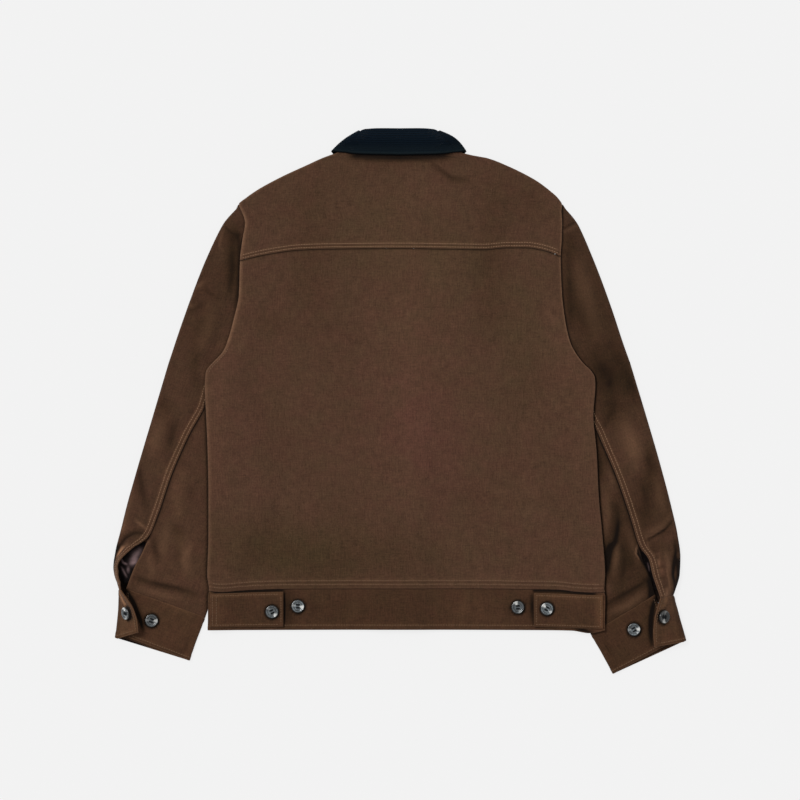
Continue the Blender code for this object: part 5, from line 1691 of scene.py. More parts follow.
# Painted shade and light over the upper sleeves' folds and puffs, darker below zero.
UPPER_SHADING = {
    "left": (
        (((-236, 246), (-232, 222)), (14.0, 14.0), -0.3),
        (((-262, 210), (-280, 150), (-300, 100)), (44.0, 44.0), -0.14),
        (((-232, 200), (-236, 150)), (14.0, 14.0), -0.22),
        (((-352, -50), (-352, -62)), (7.0, 7.0), 0.35),
        (((-389, -166), (-388, -182)), (7.0, 7.0), 0.6),
        (((-300, 20), (-330, -50)), (30.0, 30.0), 0.1),
        (((-234, 224), (-233, 178)), (10.0, 10.0), -0.3),
        (((-270, 120), (-277, 86)), (11.0, 11.0), -0.36),
        (((-287, 98), (-286, 24)), (8.0, 8.0), -0.24),
        (((-262, 58), (-268, 36)), (6.0, 6.0), 0.35),
        (((-342, 4), (-318, -14)), (13.0, 13.0), -0.26),
        (((-340, -82), (-318, -118)), (13.0, 13.0), 0.18),
        (((-246, 96), (-256, 60)), (11.0, 11.0), 0.25),
        (((-275, 44), (-269, 30)), (7.0, 7.0), 0.4),
        (((-334, -12), (-326, -42)), (11.0, 11.0), -0.28),
    ),
    "right": (
        (((280, 20), (297, 0), (312, -28)), (13.0, 13.0), -0.22),
        (((265, 160), (277, 104)), (12.0, 12.0), -0.2),
        (((314, 50), (323, 4)), (11.0, 11.0), -0.3),
        (((282, -6), (318, -30)), (18.0, 18.0), -0.22),
        (((345, -200), (372, -206)), (12.0, 12.0), -0.3),
        (((342, -76), (350, -170)), (12.0, 12.0), -0.1),
        (((300, 78), (311, 44)), (10.0, 10.0), -0.2),
        (((322, 36), (334, 0)), (9.0, 9.0), -0.3),
        (((250, 142), (264, 98)), (14.0, 14.0), -0.25),
        (((235, 238), (239, 205)), (11.0, 11.0), -0.26),
        (((346, -58), (352, -90), (352, -120)), (9.0, 9.0), -0.32),
        (((322, -146), (342, -160), (338, -182)), (12.0, 12.0), -0.3),
        (((366, -120), (373, -150), (372, -182)), (8.0, 8.0), -0.32),
        (((246, 230), (262, 170), (286, 90), (300, 30)), (50.0, 50.0), -0.26),
        (((340, -100), (356, -170)), (30.0, 30.0), -0.12),
        (((240, 180), (240, 110)), (14.0, 14.0), -0.12),
        (((286, 60), (300, 14)), (26.0, 26.0), -0.28),
        (((322, -40), (332, -84)), (18.0, 18.0), 0.2),
        (((350, -190), (366, -212)), (12.0, 12.0), 0.1),
    ),
}
UNDER_FOLDS = {
    "left": (
        (((-310, -187), (-300, -215), (-292, -240)), (6.0, 8.0), 1.6),
        (((-372, -246), (-336, -256), (-310, -261), (-286, -269)), (3.0, 6.0), -2.4),
        (((-366, -260), (-336, -270), (-306, -276)), (5.0, 5.0), 1.2),
        (((-299, -192), (-292, -202), (-297, -214), (-302, -223), (-299, -240)), (4.0, 5.0), 1.5),
        (((-322, -170), (-330, -200), (-332, -226)), (7.0, 8.0), 1.3),
        (((-346, -192), (-344, -206)), (4.0, 4.0), -1.4),
        (((-352, -214), (-346, -238), (-350, -252)), (5.0, 7.0), 1.2),
    ),
    "right": (
        (((303, -146), (306, -170), (303, -190), (294, -204), (288, -230)), (4.5, 5.5), -2.8),
        (((290, -120), (291, -160), (287, -186)), (5.0, 5.0), 1.3),
        (((315, -212), (314, -232), (311, -252)), (4.0, 5.0), -2.0),
        (((304, -196), (303, -214), (299, -240)), (5.0, 5.0), 1.7),
        (((322, -176), (330, -200), (336, -222)), (7.0, 7.0), 1.4),
        (((288, -284), (309, -272), (337, -256), (352, -248)), (2.8, 5.0), -2.4),
        (((292, -296), (318, -286), (346, -266)), (6.0, 6.0), 1.6),
    ),
}
# The painted shadow that each raised cuff flap casts on the cuff's near part.
CUFF_FLAP_SHADOW = {
    "left": (
        (((-383.6, -261.8), (-382.2, -266), (-379.4, -270.9), (-376.6, -275.8), (-373.8, -280),
          (-367.5, -296.8),
          (-363.3, -306.6), (-360.5, -317.8)), (3.2, 2.4), 2.0),
    ),
    "right": (
        (((361, -268), (354, -286), (351, -303), (350.5, -320), (352, -340)), (3.6, 3.6), 1.6),
    ),
}
# Painted shade on the inner face of the cuff's floor side, seen through the opening.
CUFF_INSIDE_SHADE = {
    "left": (
        (((-378, -266), (-374, -286), (-380, -310)), (16.0, 16.0), 2.0),
        (((-397, -332), (-381, -337), (-366, -342), (-352, -347)), (4.0, 3.0), 1.8),
    ),
    "right": (
        (((360, -268), (356, -290), (358, -316)), (14.0, 14.0), 2.0),
        (((360, -344), (372, -342)), (4.0, 4.0), 0.8),
    ),
}
# Painted shade on the inner face of the sleeve's floor side, seen through the slit.
SLIT_INSIDE_SHADE = {
    "left": (
        (((-366, -212), (-382, -240), (-384, -264)), (14.0, 14.0), 2.0),
    ),
    "right": (
        (((340, -212), (354, -240), (360, -274)), (12.0, 14.0), 2.0),
    ),
}
# Painted shade and light on the cuff's near part, darker below zero.
CUFF_SHADING = {
    "left": (
        (((-332, -280), (-298, -291)), (7.0, 7.0), 0.25),
        (((-298, -336), (-290, -352)), (9.0, 9.0), -0.32),
        (((-330, -346), (-300, -355)), (6.0, 6.0), -0.28),
    ),
    "right": (
        (((282, -336), (292, -360)), (7.0, 7.0), -0.35),
    ),
}
# Painted highlights on the under sleeves' edges at the slit.
UNDER_HIGHLIGHTS = {
    "left": (
        (((-352, -186), (-351.5, -200)), (1.5, 1.5), 0.6),
    ),
    "right": (
        (((332.5, -201), (330.5, -207), (331, -213), (334.5, -220)), (1.5, 1.5), 1.5),
    ),
}
# Painted highlights, where the cloth's edges and folds catch the light
UPPER_HIGHLIGHTS = {
    "left": (
        (((-388.5, -203.5), (-389.5, -208)), (2.0, 2.0), 1.7),
        (((-380, -200), (-388, -206), (-391.5, -210.5), (-394, -214.5), (-397, -218.5)),
         (1.6, 1.6), 0.9),
        (((-369, -167), (-355, -178)), (1.6, 1.6), 0.8),
        (((-389, -166), (-389, -181)), (2.0, 2.0), 1.0),
        (((-397, -236), (-397, -250), (-395, -262)), (2.4, 2.4), 0.7),
    ),
    "right": (
        (((373, -219), (373.5, -238), (376, -251), (377.5, -262), (376, -271)), (1.6, 1.6), 0.5),
        (((343, -189), (352, -186.5), (359, -182.5), (371, -174.5)), (1.4, 1.4), 0.4),
        (((374, -258), (372, -270), (367, -284)), (3.0, 3.5), 0.5),
        (((344, -187), (347, -204), (354, -214), (361, -224), (361, -238), (366, -252)),
         (1.4, 1.4), 0.4),
    ),
}
# Painted highlights that raise the tone where the slits' edges and the cuff flaps catch the light.
GLEAMS = {
    "left": (
        (((-386, -204), (-390, -208), (-396, -218)), (2.2, 2.2), 1.5),
        (((-391, -266), (-386, -279), (-380, -290), (-374, -304)), (2.0, 2.0), 0.8),
    ),
    "right": (
        (((362, -212), (363, -228), (367, -246)), (2.4, 2.4), 0.7),
        (((372, -262), (371, -280)), (3.0, 3.0), 0.4),
    ),
}
PLACKET_FOLDS = {
    "left": (
        (((-361, -188), (-366, -199)), (2.0, 2.0), -1.1),
        (((-372, -196), (-377, -205)), (2.0, 2.0), -0.9),
        (((-384, -204), (-391, -212)), (2.0, 2.0), -1.2),
        (((-391, -236), (-398, -238)), (2.5, 2.5), -1.0),
        (((-389, -252), (-397, -252)), (2.5, 2.5), -0.8),
    ),
    "right": (
        (((348, -205), (360, -210)), (2.2, 2.2), -1.3),
        (((353, -220), (364, -218)), (2.0, 2.0), -1.1),
        (((357, -234), (368, -231)), (2.2, 2.2), -1.2),
        (((360, -247), (372, -246)), (2.2, 2.2), -1.2),
        (((363, -261), (374, -258)), (2.2, 2.2), -1.0),
    ),
}
# Painted highlights along the cuff flaps' edges.
CUFF_HIGHLIGHTS = {
    "left": (
        (((-392, -263), (-390.5, -269), (-388.5, -273), (-385.7, -279), (-382.5, -284),
          (-377, -296)), (1.5, 1.8), 0.9),
    ),
    "right": (
        (((372, -268), (369, -280), (362, -296)), (3.0, 3.0), 0.45),
        (((362, -283), (357, -304), (355, -322), (357, -340)), (1.8, 1.8), 0.3),
    ),
}
# How much lighter the raised cuff flaps are painted, where they catch the light.
FLAP_PAINTED_LIGHT = 0.35
SEAM_TONE = {"left": 0.32, "right": 0.16}
CUFF_TONE = {"left": 0.16, "right": -0.08}
UNDER_TONE = {"left": 0.08, "right": -0.3}
# Painted shade and light over the under sleeves' folds, darker below zero.
UNDER_SHADING = {
    "left": (
        (((-306, -96), (-313, -130), (-310, -166)), (9.0, 9.0), 0.35),
        (((-340, -244), (-310, -262)), (22.0, 22.0), 0.1),
        (((-318, -170), (-307, -190)), (9.0, 9.0), -0.32),
        (((-309, -186), (-305, -230)), (7.0, 7.0), -0.36),
        (((-290, -118), (-290, -138)), (6.0, 6.0), -0.22),
    ),
    "right": (
        (((292, -94), (300, -124)), (7.0, 7.0), 0.5),
        (((312, -196), (304, -212)), (9.0, 9.0), -0.3),
        (((282, -110), (284, -150), (281, -196)), (6.0, 6.0), 0.45),
        (((292, -252), (292, -272)), (6.0, 6.0), 0.4),
        (((322, -214), (322, -234)), (6.0, 6.0), -0.28),
    ),
}
# Painted shade on the under sleeves, beside the body and in the slit.
UNDER_PAINTED_SHADE = {
    "left": (
        (((-345, -194), (-342, -210), (-336, -222)), (5.0, 5.0), 0.5),
    ),
    "right": (
        (((306, -160), (305, -180), (302, -196), (294, -208), (289, -226)), (3.5, 5.5), 1.35),
        (((293, -202), (290, -222), (288, -242)), (5.0, 5.0), 1.7),
        (((333, -204), (333, -213), (340, -224), (346, -234), (349, -244)), (1.4, 1.8), 1.9),
        (((350, -248), (353, -262), (352, -282)), (2.5, 5.5), 1.9),
        (((338, -252), (348, -250)), (5.0, 4.0), 0.45),
        (((279, -66), (281, -108)), (3.0, 3.0), 0.5),
    ),
}
FLATS = {
    "back_panel": (0.57, 0.475, 0.24),
    "back_yoke": (0.47, 0.15, 0.05),
    "front": (0.27, 0.6, 0.125),
    "placket": (0.038, 0.516, None),
    "band_back": (0.57, 0.06, None),
    "band_front": (0.31, 0.06, None),
    "tab": (0.1, 0.048, None),
    "fall": (0.52, 0.078, 0.029),
    "stand": (0.43, 0.026, None),
    "upper": (0.2, 0.6, 0.09),
    "under": (0.17, 0.33, 0.05),
    "cuff": (0.25, 0.065, None),
    "lining": (0.036, 0.056, 0.0014),
}


def cut_of(key):
    width, length, area = FLATS[key]
    return {"flat": (width, length), "area": area}


def settled(cloth, seed, height, size=46.0):
    """Soft unevenness over a piece, fading at its edges."""
    grid = cloth.grid
    edge = np.minimum(np.minimum(cloth.from_edge("foot"), cloth.from_edge("top")),
                      np.minimum(cloth.from_edge("left"), cloth.from_edge("right")))
    cloth.lift(height * undulation(grid[..., 0], grid[..., 1], size,
                                   seed) * smoothstep(edge / 14.0))


class JacketOperator:
    bl_options = {"REGISTER", "UNDO"}


class JACKET_OT_fronts(JacketOperator, bpy.types.Operator):
    """Makes both fronts and their button plackets, which lie on the floor"""

    bl_idname = "jacket.fronts"
    bl_label = "Fronts and plackets"

    def execute(self, context):
        for side in ("left", "right"):
            outward = -1 if side == "left" else 1
            cloth = Cloth(front_grid(side), CLOTH, outward)
            cloth.wear_and_highlight = 0.6 * np.exp(-(cloth.from_edge("left") / 2.0) ** 2)
            rows = [cloth.line("right", at, 2, 8) for at in (2.2,)]
            rows += [cloth.line("foot", at, 12, 2) for at in (3.4, 9.6)]
            placed(cloth, f"front_{side}_cloth", f"front_{side}", "body_canvas", "canvas",
                   rests_on=["floor"], rows=rows, **cut_of("front"))
            strip = Cloth(placket_grid(side), CLOTH, -1)
            rows = [strip.line(edge, 4.0, 2, 2) for edge in ("left", "right")]
            placed(strip, f"placket_{side}_cloth", f"front_placket_{side}", "body_canvas", "canvas",
                   rests_on=["floor"], rows=rows, **cut_of("placket"))
        return {"FINISHED"}


class JACKET_OT_sleeves(JacketOperator, bpy.types.Operator):
    """Makes the upper and under sleeves, with the felled seam that runs into the cuff slit"""

    bl_idname = "jacket.sleeves"
    bl_label = "Sleeves"

    def execute(self, context):
        for side in ("left", "right"):
            outward = -1 if side == "left" else 1
            grid, places = upper_grid(side)
            cloth = Cloth(grid, CLOTH, outward)
            number = numbered(cloth, places)
            on_top = on_back(cloth, UPPER_COUNTS)
            clear = smoothstep(cloth.from_edge("right") / 9.0)
            open_part = smoothstep((ARMPIT_ROW - number) / 0.6)
            x, y = cloth.grid[..., 0], cloth.grid[..., 1]
            # Painted shade and light over the folds and hollows, painted shade inside the slit, and
            # the body's painted shadow beside it.
            cloth.toned(UPPER_SHADING[side], on_top)
            cloth.darkened(UPPER_PAINTED_SHADE[side], on_back(cloth, UPPER_COUNTS, 5.0))
            cloth.folded(UPPER_FOLDS[side], on_top * np.maximum(clear, open_part * 0.8))
            cloth.lift(0.5 * undulation(x, y, 34.0, 21) * on_top * clear)
            cloth.slide("top", 2.2, 1 - on_top)
            cloth.darkened_inside(SLIT_INSIDE_SHADE[side], 1 - on_top)
            paint_body_shadow(cloth, side, on_top)
            seam = smoothstep((number - ARMPIT_ROW) / 0.8)
            fell_seam(cloth, "right", (3.0, 8.0), 9.5, 0.8, 31, seam)
            beside = smoothstep((10.5 - cloth.from_edge("right")) / 2.0)
            cloth.tone = cloth.tone + SEAM_TONE[side] * seam * beside
            slit = smoothstep((number - 12.0) / 0.6)
            # Painted highlights and shade over the slit's placket, and a painted highlight along
            # the slit's edge.
            cloth.folded(PLACKET_FOLDS[side], on_top * slit)
            cloth.paint_highlights(UPPER_HIGHLIGHTS[side], on_top)
            cloth.toned(GLEAMS[side], on_top)
            cloth.wear_and_highlight = np.maximum(cloth.wear_and_highlight,
                                    0.45 * slit * np.exp(-(cloth.from_edge("right") / 2.0) ** 2))
            stitch_rows = [from_row(cloth.line("right", at), number,
                                    ARMPIT_ROW + 0.3) for at in (3.0, 8.0)]
            placed(cloth, f"sleeve_upper_{side}_cloth", f"sleeve_upper_{side}", "sleeve_canvas",
                   "canvas",
                   rests_on=["floor"], rows=stitch_rows, **cut_of("upper"))
            grid, places = under_grid(side)
            cloth = Cloth(grid, CLOTH, -outward)
            number = numbered(cloth, places)
            on_top = on_back(cloth, UNDER_COUNTS)
            x, y = cloth.grid[..., 0], cloth.grid[..., 1]
            beside = fold_left(y) - x if side == "left" else x - fold_right(y)
            edge = cloth.from_edge("right")
            clear = smoothstep(edge / 12.0) * smoothstep(beside / 24.0)
            # Painted shade and light over the folds and hollows, painted shade inside the slit, and
            # the body's painted shadow beside it.
            cloth.darkened(UNDER_PAINTED_SHADE[side], on_top)
            cloth.tone += UNDER_TONE[side]
            cloth.toned(UNDER_SHADING[side], on_top)
            cloth.folded(UNDER_FOLDS[side], on_top * clear)
            cloth.lift(0.6 * undulation(x, y, 30.0, 22) * on_top * clear)
            cloth.slide("top", 2.2, 1 - on_top)
            cloth.darkened_inside(SLIT_INSIDE_SHADE[side], 1 - on_top)
            paint_body_shadow(cloth, side, on_top)
            slit = on_top * smoothstep((number - 12.0) / 0.3)
            # Painted shade along the seam, where the upper sleeve's edge lies over this one. At the
            # left slit a painted highlight on the edge takes its place; at the right slit painted
            # shade reaches into the opening.
            seam = 0.85 * np.exp(-(edge / 1.5) ** 2) + 0.35 * np.exp(-(edge / 4.0) ** 2)
            if side == "left":
                cloth.shade = np.maximum(cloth.shade, (on_top - slit) * seam)
                cloth.wear_and_highlight = np.maximum(cloth.wear_and_highlight, 0.5 * slit * np.exp(-((edge - 0.9) / 1.1) ** 2))
            else:
                cloth.shade = np.maximum(cloth.shade, on_top * seam)
                cloth.shade = np.maximum(cloth.shade, slit * 0.5 * np.exp(-(edge / 1.6) ** 2))
            cloth.paint_highlights(UNDER_HIGHLIGHTS[side], on_top)
            placed(cloth, f"sleeve_under_{side}_cloth", f"sleeve_under_{side}", "sleeve_canvas",
                   "canvas",
                   rests_on=["floor"], **cut_of("under"))
        return {"FINISHED"}


def paint_body_shadow(cloth, side, where):
    """Paints shade on a sleeve in the gap beside the body that lies on it."""
    x, y = cloth.grid[..., 0], cloth.grid[..., 1]
    out = outline[side](y) * (-1 if side == "left" else 1)
    out = x * (-1 if side == "left" else 1) - out
    if side == "left":
        deep = 0.35 + 0.65 * smoothstep((y - 120) / 30.0) * (1 - smoothstep((y - 222) / 12.0))
        deep = np.maximum(deep, 0.85 * smoothstep((20 - y) / 30.0))
    else:
        deep = np.full_like(y, 0.95)
    dark = deep * np.exp(-(np.maximum(out - 0.6, 0) / 1.7) ** 2) * smoothstep((out + 20) / 6.0)
    cloth.shade = np.maximum(cloth.shade, dark * where)


def numbered(cloth, places):
    """The sleeve's row number at each line of its cloth."""
    count = cloth.grid.shape[0]
    return np.interp(np.linspace(0, 1, count), np.linspace(0, 1, len(places)), places)[:, None]


def on_back(cloth, counts, sooner=0.0):
    """One where a folded sleeve's cloth is on top, and zero where it is on the floor."""
    column = np.arange(cloth.grid.shape[1])[None, :]
    return smoothstep((column + sooner - counts[0] - 2 - 0.5 * counts[1]) / 4.0)


def buttonhole(cloth, x, y, degrees, length=17.0):
    """Lines of close stitching round a slit, on the outer face about a point, turned by some
    degrees."""
    way = np.array([math.cos(math.radians(degrees)), math.sin(math.radians(degrees))])
    side = np.array([-way[1], way[0]])
    lines_made = []
    for aside in (-0.9, 0.9):
        places = [np.array([x, y]) + way * t
                  + side * aside for t in np.linspace(-length / 2, length / 2, 14)]
        found = [cloth.at(*place) for place in places]
        lines_made.append((np.array([point for point, _ in found]),
                           np.array([normal for _, normal in found])))
    return lines_made


def fell_seam(cloth, edge, rows, width, height, seed, share):
    """A felled seam along part of an edge: share is how much of it each line of the cloth takes."""
    before = cloth.grid.copy()
    wear_and_highlight, shade = cloth.wear_and_highlight.copy(), cloth.shade.copy()
    cloth.felled(edge, rows, width, height, seed)
    cloth.grid = before + (cloth.grid - before) * share[..., None]
    cloth.wear_and_highlight = wear_and_highlight + (cloth.wear_and_highlight - wear_and_highlight) * share
    cloth.shade = shade + (cloth.shade - shade) * share


def from_row(line, number, first):
    """The part of a line that crosses the cloth from a row number on."""
    kept = number[:, 0] >= first
    return line[0][kept], line[1][kept]


class JACKET_OT_cuffs(JacketOperator, bpy.types.Operator):
    """Makes the cuffs, open at the overlap, with topstitching along the hem and both ends"""

    bl_idname = "jacket.cuffs"
    bl_label = "Cuffs"

    def execute(self, context):
        for side in ("left", "right"):
            outward = -1 if side == "left" else 1
            cloth = Cloth(cuff_grid(side), CLOTH, outward)
            settled(cloth, 41, 0.3, 30.0)
            for edge in ("foot", "top", "left", "right"):
                fell_seam(cloth, edge, () if edge == "foot" else (4.5,), 7.5, 0.4, 43,
                          np.ones((1, 1)))
            across = cloth.grid.shape[1]
            column = np.arange(across)[None, :]
            near = column < CUFF_NEAR_COUNTS[2]
            # The flap's painted shadow, and painted shade and light on the near part, painted shade
            # inside the cuff, the flap painted lighter with painted highlights, and painted shadows
            # round the buttons.
            cloth.darkened(CUFF_FLAP_SHADOW[side], near)
            cloth.toned(CUFF_SHADING[side], near)
            flap = column > across - CUFF_FAR_COUNTS[2] - 2
            first = CUFF_NEAR_COUNTS[2] + 2 + CUFF_NEAR_COUNTS[1] / 2
            last = across - 3 - CUFF_FAR_COUNTS[2] - CUFF_FAR_COUNTS[1] / 2
            below = ((1 - smoothstep((first - column) / 4.0))
                     * (1 - smoothstep((column - last) / 4.0)))
            cloth.slide("foot", 2.2, below)
            cloth.slide("foot", -0.5, 1.0)
            cloth.darkened_inside(CUFF_INSIDE_SHADE[side], below)
            cloth.tone += CUFF_TONE[side] + FLAP_PAINTED_LIGHT * flap
            cloth.paint_highlights(CUFF_HIGHLIGHTS[side], flap)
            cloth.toned(GLEAMS[side], flap)
            paint_button_shadows(cloth, f"cuff_button_{side}", f"cuff_flap_button_{side}")
            rows = [cloth.line("top", 4.5, 4, 4), cloth.line("left", 3.5, 3, 5),
                    cloth.line("right", 3.5, 3, 5)]
            placed(cloth, f"cuff_{side}_cloth", f"cuff_{side}", "band_canvas", "canvas_band",
                   rests_on=["floor"], rows=rows, **cut_of("cuff"))
        return {"FINISHED"}


class JACKET_OT_lining(JacketOperator, bpy.types.Operator):
    """Makes the satin that shows in the sleeve slits"""

    bl_idname = "jacket.lining"
    bl_label = "Sleeve lining"

    def execute(self, context):
        for side in ("left", "right"):
            cloth = Cloth(lining_grid(side), LINING, -1 if side == "left" else 1)
            x, y = cloth.grid[..., 0], cloth.grid[..., 1]
            # The satin is painted in shade but for its lit patches.
            cloth.shade = np.clip(1.0 - creases(x, y, LINING_LIGHT[side]), 0, 1)
            placed(cloth, f"lining_{side}_satin", f"sleeve_lining_{side}", "lining_satin", "satin",
                   rests_on=[f"sleeve_upper_{side}_cloth"], **cut_of("lining"))
        return {"FINISHED"}


class JACKET_OT_waistband(JacketOperator, bpy.types.Operator):
    """Makes the waistband's back and fronts, and the two adjuster tabs"""

    bl_idname = "jacket.waistband"
    bl_label = "Waistband and tabs"

    def execute(self, context):
        for part, node in (("left", "waistband_front_left"), ("right", "waistband_front_right"),
                           ("back", "waistband_back")):
            outward = {"left": -1, "right": 1, "back": 1}[part]
            cloth = Cloth(band_grid(part), CLOTH, outward)
            if part == "back":
                settled(cloth, 51, 0.3, 34.0)
                cloth.felled("foot", (6.6,), 8.0, 0.35, 53, 14.0)
                x, top = cloth.grid[..., 0], cloth.from_edge("top")
                by_tab = np.maximum(smoothstep((-160 - x) / 3.0) * smoothstep((x + 264) / 5.0),
                                    smoothstep((x - 184) / 3.0) * (1 - smoothstep((x - 270) / 8.0)))
                cloth.raise_z(-0.35 * np.exp(-(top / 2.0) ** 2) * by_tab)
                # Painted shade in the gap above each tab, and the tabs' painted shadows on the
                # band.
                cloth.shade = by_tab * np.exp(-(top / 4.4) ** 4)
                cloth.darkened(TAB_SHADOWS)
                cloth.toned(BAND_TONES)
                cloth.folded(BAND_FOLDS)
                paint_button_shadows(cloth, "waist_button_left", "waist_button_right")
            rows = [cloth.line("foot", 6.6, 8, 4)]
            on_back_band = part == "back"
            key = "band_back" if on_back_band else "band_front"
            under = ["waistband_front_left_cloth"] if on_back_band else ["floor"]
            placed(cloth, node + "_cloth", node, "band_canvas", "canvas_band", rests_on=under,
                   rows=rows,
                   **cut_of(key))
        for side in ("left", "right"):
            cloth = Cloth(tab_grid(side), TAB_CLOTH, 1)
            free = "right" if side == "left" else "left"
            sewn = "left" if side == "left" else "right"
            for edge in ("foot", "top", free):
                fell_seam(cloth, edge, (3.2,), 5.0, 0.3, 57, np.ones((1, 1)))
            rows = [cloth.line("foot", 3.2, 2, 3), cloth.line("top", 3.2, 2, 3),
                    cloth.line(free, 3.2, 4, 4),
                    cloth.line(sewn, 3.5, 3, 3)] + [cloth.line(sewn, 9.0, 3, 3)] * (side == "left")
            rows += buttonhole(cloth, *TAB_HOLES[side])
            cloth.toned(BAND_TONES)
            cloth.tone += 0.35 * np.exp(-(cloth.from_edge("top") / 6.0) ** 2)
            paint_button_shadows(cloth, f"waist_tab_button_{side}")
            placed(cloth, f"waist_tab_{side}_cloth", f"waist_tab_{side}", "band_canvas",
                   "canvas_band",
                   rests_on=["waistband_back_cloth"], rows=rows, **cut_of("tab"))
        return {"FINISHED"}


class JACKET_OT_back(JacketOperator, bpy.types.Operator):
    """Makes the back panel and the yoke, with their felled seams"""

    bl_idname = "jacket.back"
    bl_label = "Back and yoke"

    def execute(self, context):
        cloth = Cloth(back_grid(), CLOTH)
        x, y = cloth.grid[..., 0], cloth.grid[..., 1]
        settled(cloth, 61, 0.35, 60.0)
        cloth.folded(BACK_FOLDS)
        cloth.toned(BACK_TONES)
        cloth.warmed(BACK_HUES)
        cloth.felled("foot", (6.2, 11.4), 13.0, 0.6, 63, rim=0.08)
        top = cloth.from_edge("top")
        cloth.raise_z(-0.5 * np.exp(-(top / 2.0) ** 2)
                      + 0.15 * ripple(x, 11.0, 65) * np.exp(-(top / 8.0) ** 2))
        # Painted shade along the top of the panel, just below the yoke's edge.
        cloth.shade = np.maximum(cloth.shade, 0.7 * np.exp(-(top / 1.8) ** 2))
        wear_and_highlight_sides(cloth)
        rows = [cloth.line("foot", at, 5, 5) for at in (6.2, 11.4)]
        for at in (1.6, 5.0):
            points, normals = cloth.line("left", at)
            kept = (points[:, 1] > 40) & (points[:, 1] < 80)
            rows.append((points[kept], normals[kept]))
        placed(cloth, "back_panel_cloth", "back_panel", "body_canvas", "canvas",
               rests_on=["front_left_cloth", "front_right_cloth"], rows=rows,
               **cut_of("back_panel"))
        cloth = Cloth(yoke_grid(), CLOTH)
        x, y = cloth.grid[..., 0], cloth.grid[..., 1]
        settled(cloth, 67, 0.3, 50.0)
        cloth.folded(BACK_FOLDS)
        cloth.toned(BACK_TONES)
        cloth.warmed(BACK_HUES)
        cloth.felled("foot", (2.7, 7.0), 8.6, 0.7, 69, rim=0.35)
        cloth.shade = np.maximum(cloth.shade, under_collar(x, y))
        wear_and_highlight_sides(cloth)
        rows = [cloth.line("foot", at, 3, 3) for at in (2.7, 7.0)]
        placed(cloth, "back_yoke_cloth", "back_yoke", "body_canvas", "canvas",
               rests_on=["front_left_cloth", "front_right_cloth"], rows=rows, **cut_of("back_yoke"))
        return {"FINISHED"}


def under_collar(x, y):
    """How dark the yoke is in the shadow of the collar's lower edge."""
    gap = np.interp(np.abs(x), COLLAR["fall_x"][:5], COLLAR["fall_y"][:5]) - y
    seen = 1 - smoothstep((np.abs(x) - 62.0) / 14.0)
    return seen * (np.exp(-(np.maximum(gap - 3.6, 0) / 1.9) ** 2)
                   + 0.55 * np.exp(-((gap - 7.0) / 2.4) ** 2))


def wear_and_highlight_sides(cloth):
    """A pale line along the edges where the sleeves are sewn, partly wear and partly a painted
    highlight on the rounded edge.
    """
    y = cloth.grid[..., 1]
    beside_sleeve = smoothstep((y - 45) / 30.0) * (1 - smoothstep((y - SHOULDER_Y + 10) / 20.0))
    for edge, share, at, width in (("left", 0.62, 0.9, 2.4), ("right", 0.7, 0.5, 1.5)):
        distance = cloth.from_edge(edge)
        wear_and_highlight = share * (0.55 + 0.45 * beside_sleeve) * np.exp(-((distance - at) / width) ** 2)
        cloth.wear_and_highlight = np.maximum(cloth.wear_and_highlight, wear_and_highlight * (1 + 0.3 * ripple(y, 16.0, 71)))


class JACKET_OT_collar(JacketOperator, bpy.types.Operator):
    """Makes the corduroy collar's stand and fall"""

    bl_idname = "jacket.collar"
    bl_label = "Collar"

    def execute(self, context):
        pitch = sizes().wale_pitch / MM
        for part, grid, thickness, outward in (("stand", stand_grid(), CORDUROY - 0.2, 1),
                                               ("fall", fall_grid(), CORDUROY, -1)):
            cloth = Cloth(grid, thickness, outward)
            if part == "fall":
                place = np.concatenate([COLLAR_PLACES[:0:-1], COLLAR_PLACES])
                number = np.interp(np.linspace(0, 1, cloth.grid.shape[0]),
                                   np.linspace(0, 1, len(place)), place)
                seen = (1 - smoothstep((number - 7.5) / 1.5))[:, None]
                wale = np.cos(2 * math.pi * cloth.from_edge("left") / pitch)
                cloth.lift(0.22 * (wale - 0.2) * seen * smoothstep(cloth.from_edge("left") / 1.5))
                # A painted highlight a few millimetres in from the fall's lower edge, and painted
                # shade at that edge.
                brim = cloth.from_edge("left")
                cloth.wear_and_highlight = (0.75 * np.exp(-((brim - 3.4) / 1.5) ** 2)
                              + 0.25 * np.exp(-((brim - 9.0) / 6.0) ** 2))
                cloth.shade = np.exp(-(brim / 2.6) ** 4)
            made = cloth.piece(f"collar_{part}_corduroy", finish_of("collar_corduroy"), 0)
            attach(made, "root")
            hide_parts(f"collar_{part}")
            under = ["back_yoke_cloth"]
            if part != "stand":
                under = ["collar_stand_corduroy"] + under
        return {"FINISHED"}


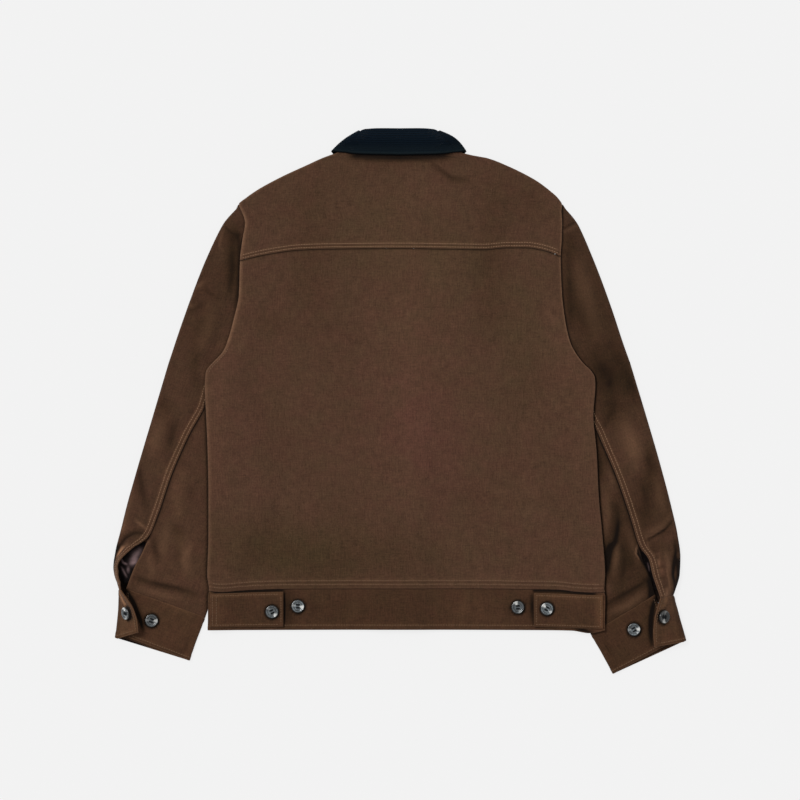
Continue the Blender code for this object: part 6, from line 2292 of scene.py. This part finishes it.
class JACKET_OT_buttons(JacketOperator, bpy.types.Operator):
    """Makes the horn buttons and the thread that holds them"""

    bl_idname = "jacket.buttons"
    bl_label = "Buttons"

    def execute(self, context):
        form, form_faces = button_form(sizes().button_radius / MM)
        bars, bar_faces = bar_form()
        nodes = sorted(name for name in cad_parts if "button" in name)
        for node in nodes:
            back, normal = button_place(node)
            twist, wedge, glint_strength, tone = BUTTON_LOOK.get(node, FRONT_BUTTON_LOOK)
            lean = math.radians(BUTTON_LEAN.get(node, 0.0))
            normal = unit(normal * math.cos(lean) + np.array([math.sin(lean), 0.0, 0.0]))
            form_here = turned(form, twist)
            face = turned(form_here, -wedge) / np.abs(form).max()
            face[:, 2] = glint_strength
            made = mesh_piece("horn_" + node, stood(form_here, back, normal), form_faces,
                              finish_of("button_horn"),
                              {"face": face, "tone": np.full(len(form), tone)})
            made.data.set_sharp_from_angle(angle=math.radians(38))
            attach(made, "root")
            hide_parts(node)
            held = mesh_piece("thread_" + node, stood(turned(bars, twist), back, normal), bar_faces,
                              finish_of("button_thread"))
            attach(held, "root")
        return {"FINISHED"}


class JACKET_OT_stage(JacketOperator, bpy.types.Operator):
    """Makes the floor, the soft light and the camera straight above"""

    bl_idname = "jacket.stage"
    bl_label = "Stage"

    def execute(self, context):
        scene = context.scene
        floor = plain_object("floor", np.array([(-1, -1, 0), (1, -1, 0), (1, 1, 0),
                                                (-1, 1, 0)]) * 6000.0,
                             [(0, 1, 2, 3)])
        floor.location.z = -0.0003
        # The floor glows as well as reflecting, so that the jacket casts almost no shadow on it.
        pale = Finish("floor_glowing", Roughness=0.9, Specular_IOR_Level=0.0, Emission_Strength=0.81)
        pale.shader.inputs["Emission Color"].default_value = (1.0, 1.0, 1.0, 1.0)
        pale.shader.inputs["Base Color"].default_value = (*scene.jacket_colours.floor, 1.0)
        floor.data.materials.append(pale.material)
        world = bpy.data.worlds.new("studio")
        world.use_nodes = True
        world.node_tree.nodes["Background"].inputs["Strength"].default_value = 0.52
        world.node_tree.nodes["Background"].inputs["Color"].default_value = (1.0, 1.0, 1.0, 1.0)
        scene.world = world
        key = bpy.data.lights.new("key", "SUN")
        key.energy = 1.74
        key.angle = math.radians(20)
        lamp = bpy.data.objects.new("key", key)
        lamp.rotation_euler = (math.radians(-20), math.radians(-26), 0)
        scene.collection.objects.link(lamp)
        camera = bpy.data.cameras.new("camera")
        camera.lens = sizes().camera_lens
        camera.sensor_width = 36.0
        camera.clip_end = 50.0
        eye = bpy.data.objects.new("camera", camera)
        eye.location = (0.0, 0.0021, sizes().camera_height)
        scene.collection.objects.link(eye)
        scene.camera = eye
        scene.view_settings.view_transform = "Standard"
        return {"FINISHED"}


OPERATORS = (JACKET_OT_fronts, JACKET_OT_sleeves, JACKET_OT_cuffs, JACKET_OT_lining,
             JACKET_OT_waistband,
             JACKET_OT_back, JACKET_OT_collar, JACKET_OT_buttons, JACKET_OT_stage)


class JACKET_PT_panel(bpy.types.Panel):
    """Lists the steps that make the jacket"""

    bl_idname = "JACKET_PT_panel"
    bl_label = "Work jacket"
    bl_space_type = "VIEW_3D"
    bl_region_type = "UI"
    bl_category = "Jacket"

    def draw(self, context):
        for group in (context.scene.jacket_sizes, context.scene.jacket_colours):
            box = self.layout.box()
            for name in group.__annotations__:
                box.prop(group, name)
        for operator in OPERATORS:
            self.layout.operator(operator.bl_idname)


CLASSES = (JacketSizes, JacketColours, *OPERATORS, JACKET_PT_panel)


def register():
    for made in CLASSES:
        bpy.utils.register_class(made)
    bpy.types.Scene.jacket_sizes = bpy.props.PointerProperty(type=JacketSizes)
    bpy.types.Scene.jacket_colours = bpy.props.PointerProperty(type=JacketColours)


def unregister():
    del bpy.types.Scene.jacket_colours
    del bpy.types.Scene.jacket_sizes
    for made in reversed(CLASSES):
        bpy.utils.unregister_class(made)


def main():
    register()
    for name in ("fronts", "sleeves", "cuffs", "lining", "waistband", "back", "collar", "buttons",
                 "stage"):
        getattr(bpy.ops.jacket, name)()


if __name__ == "__main__":
    main()
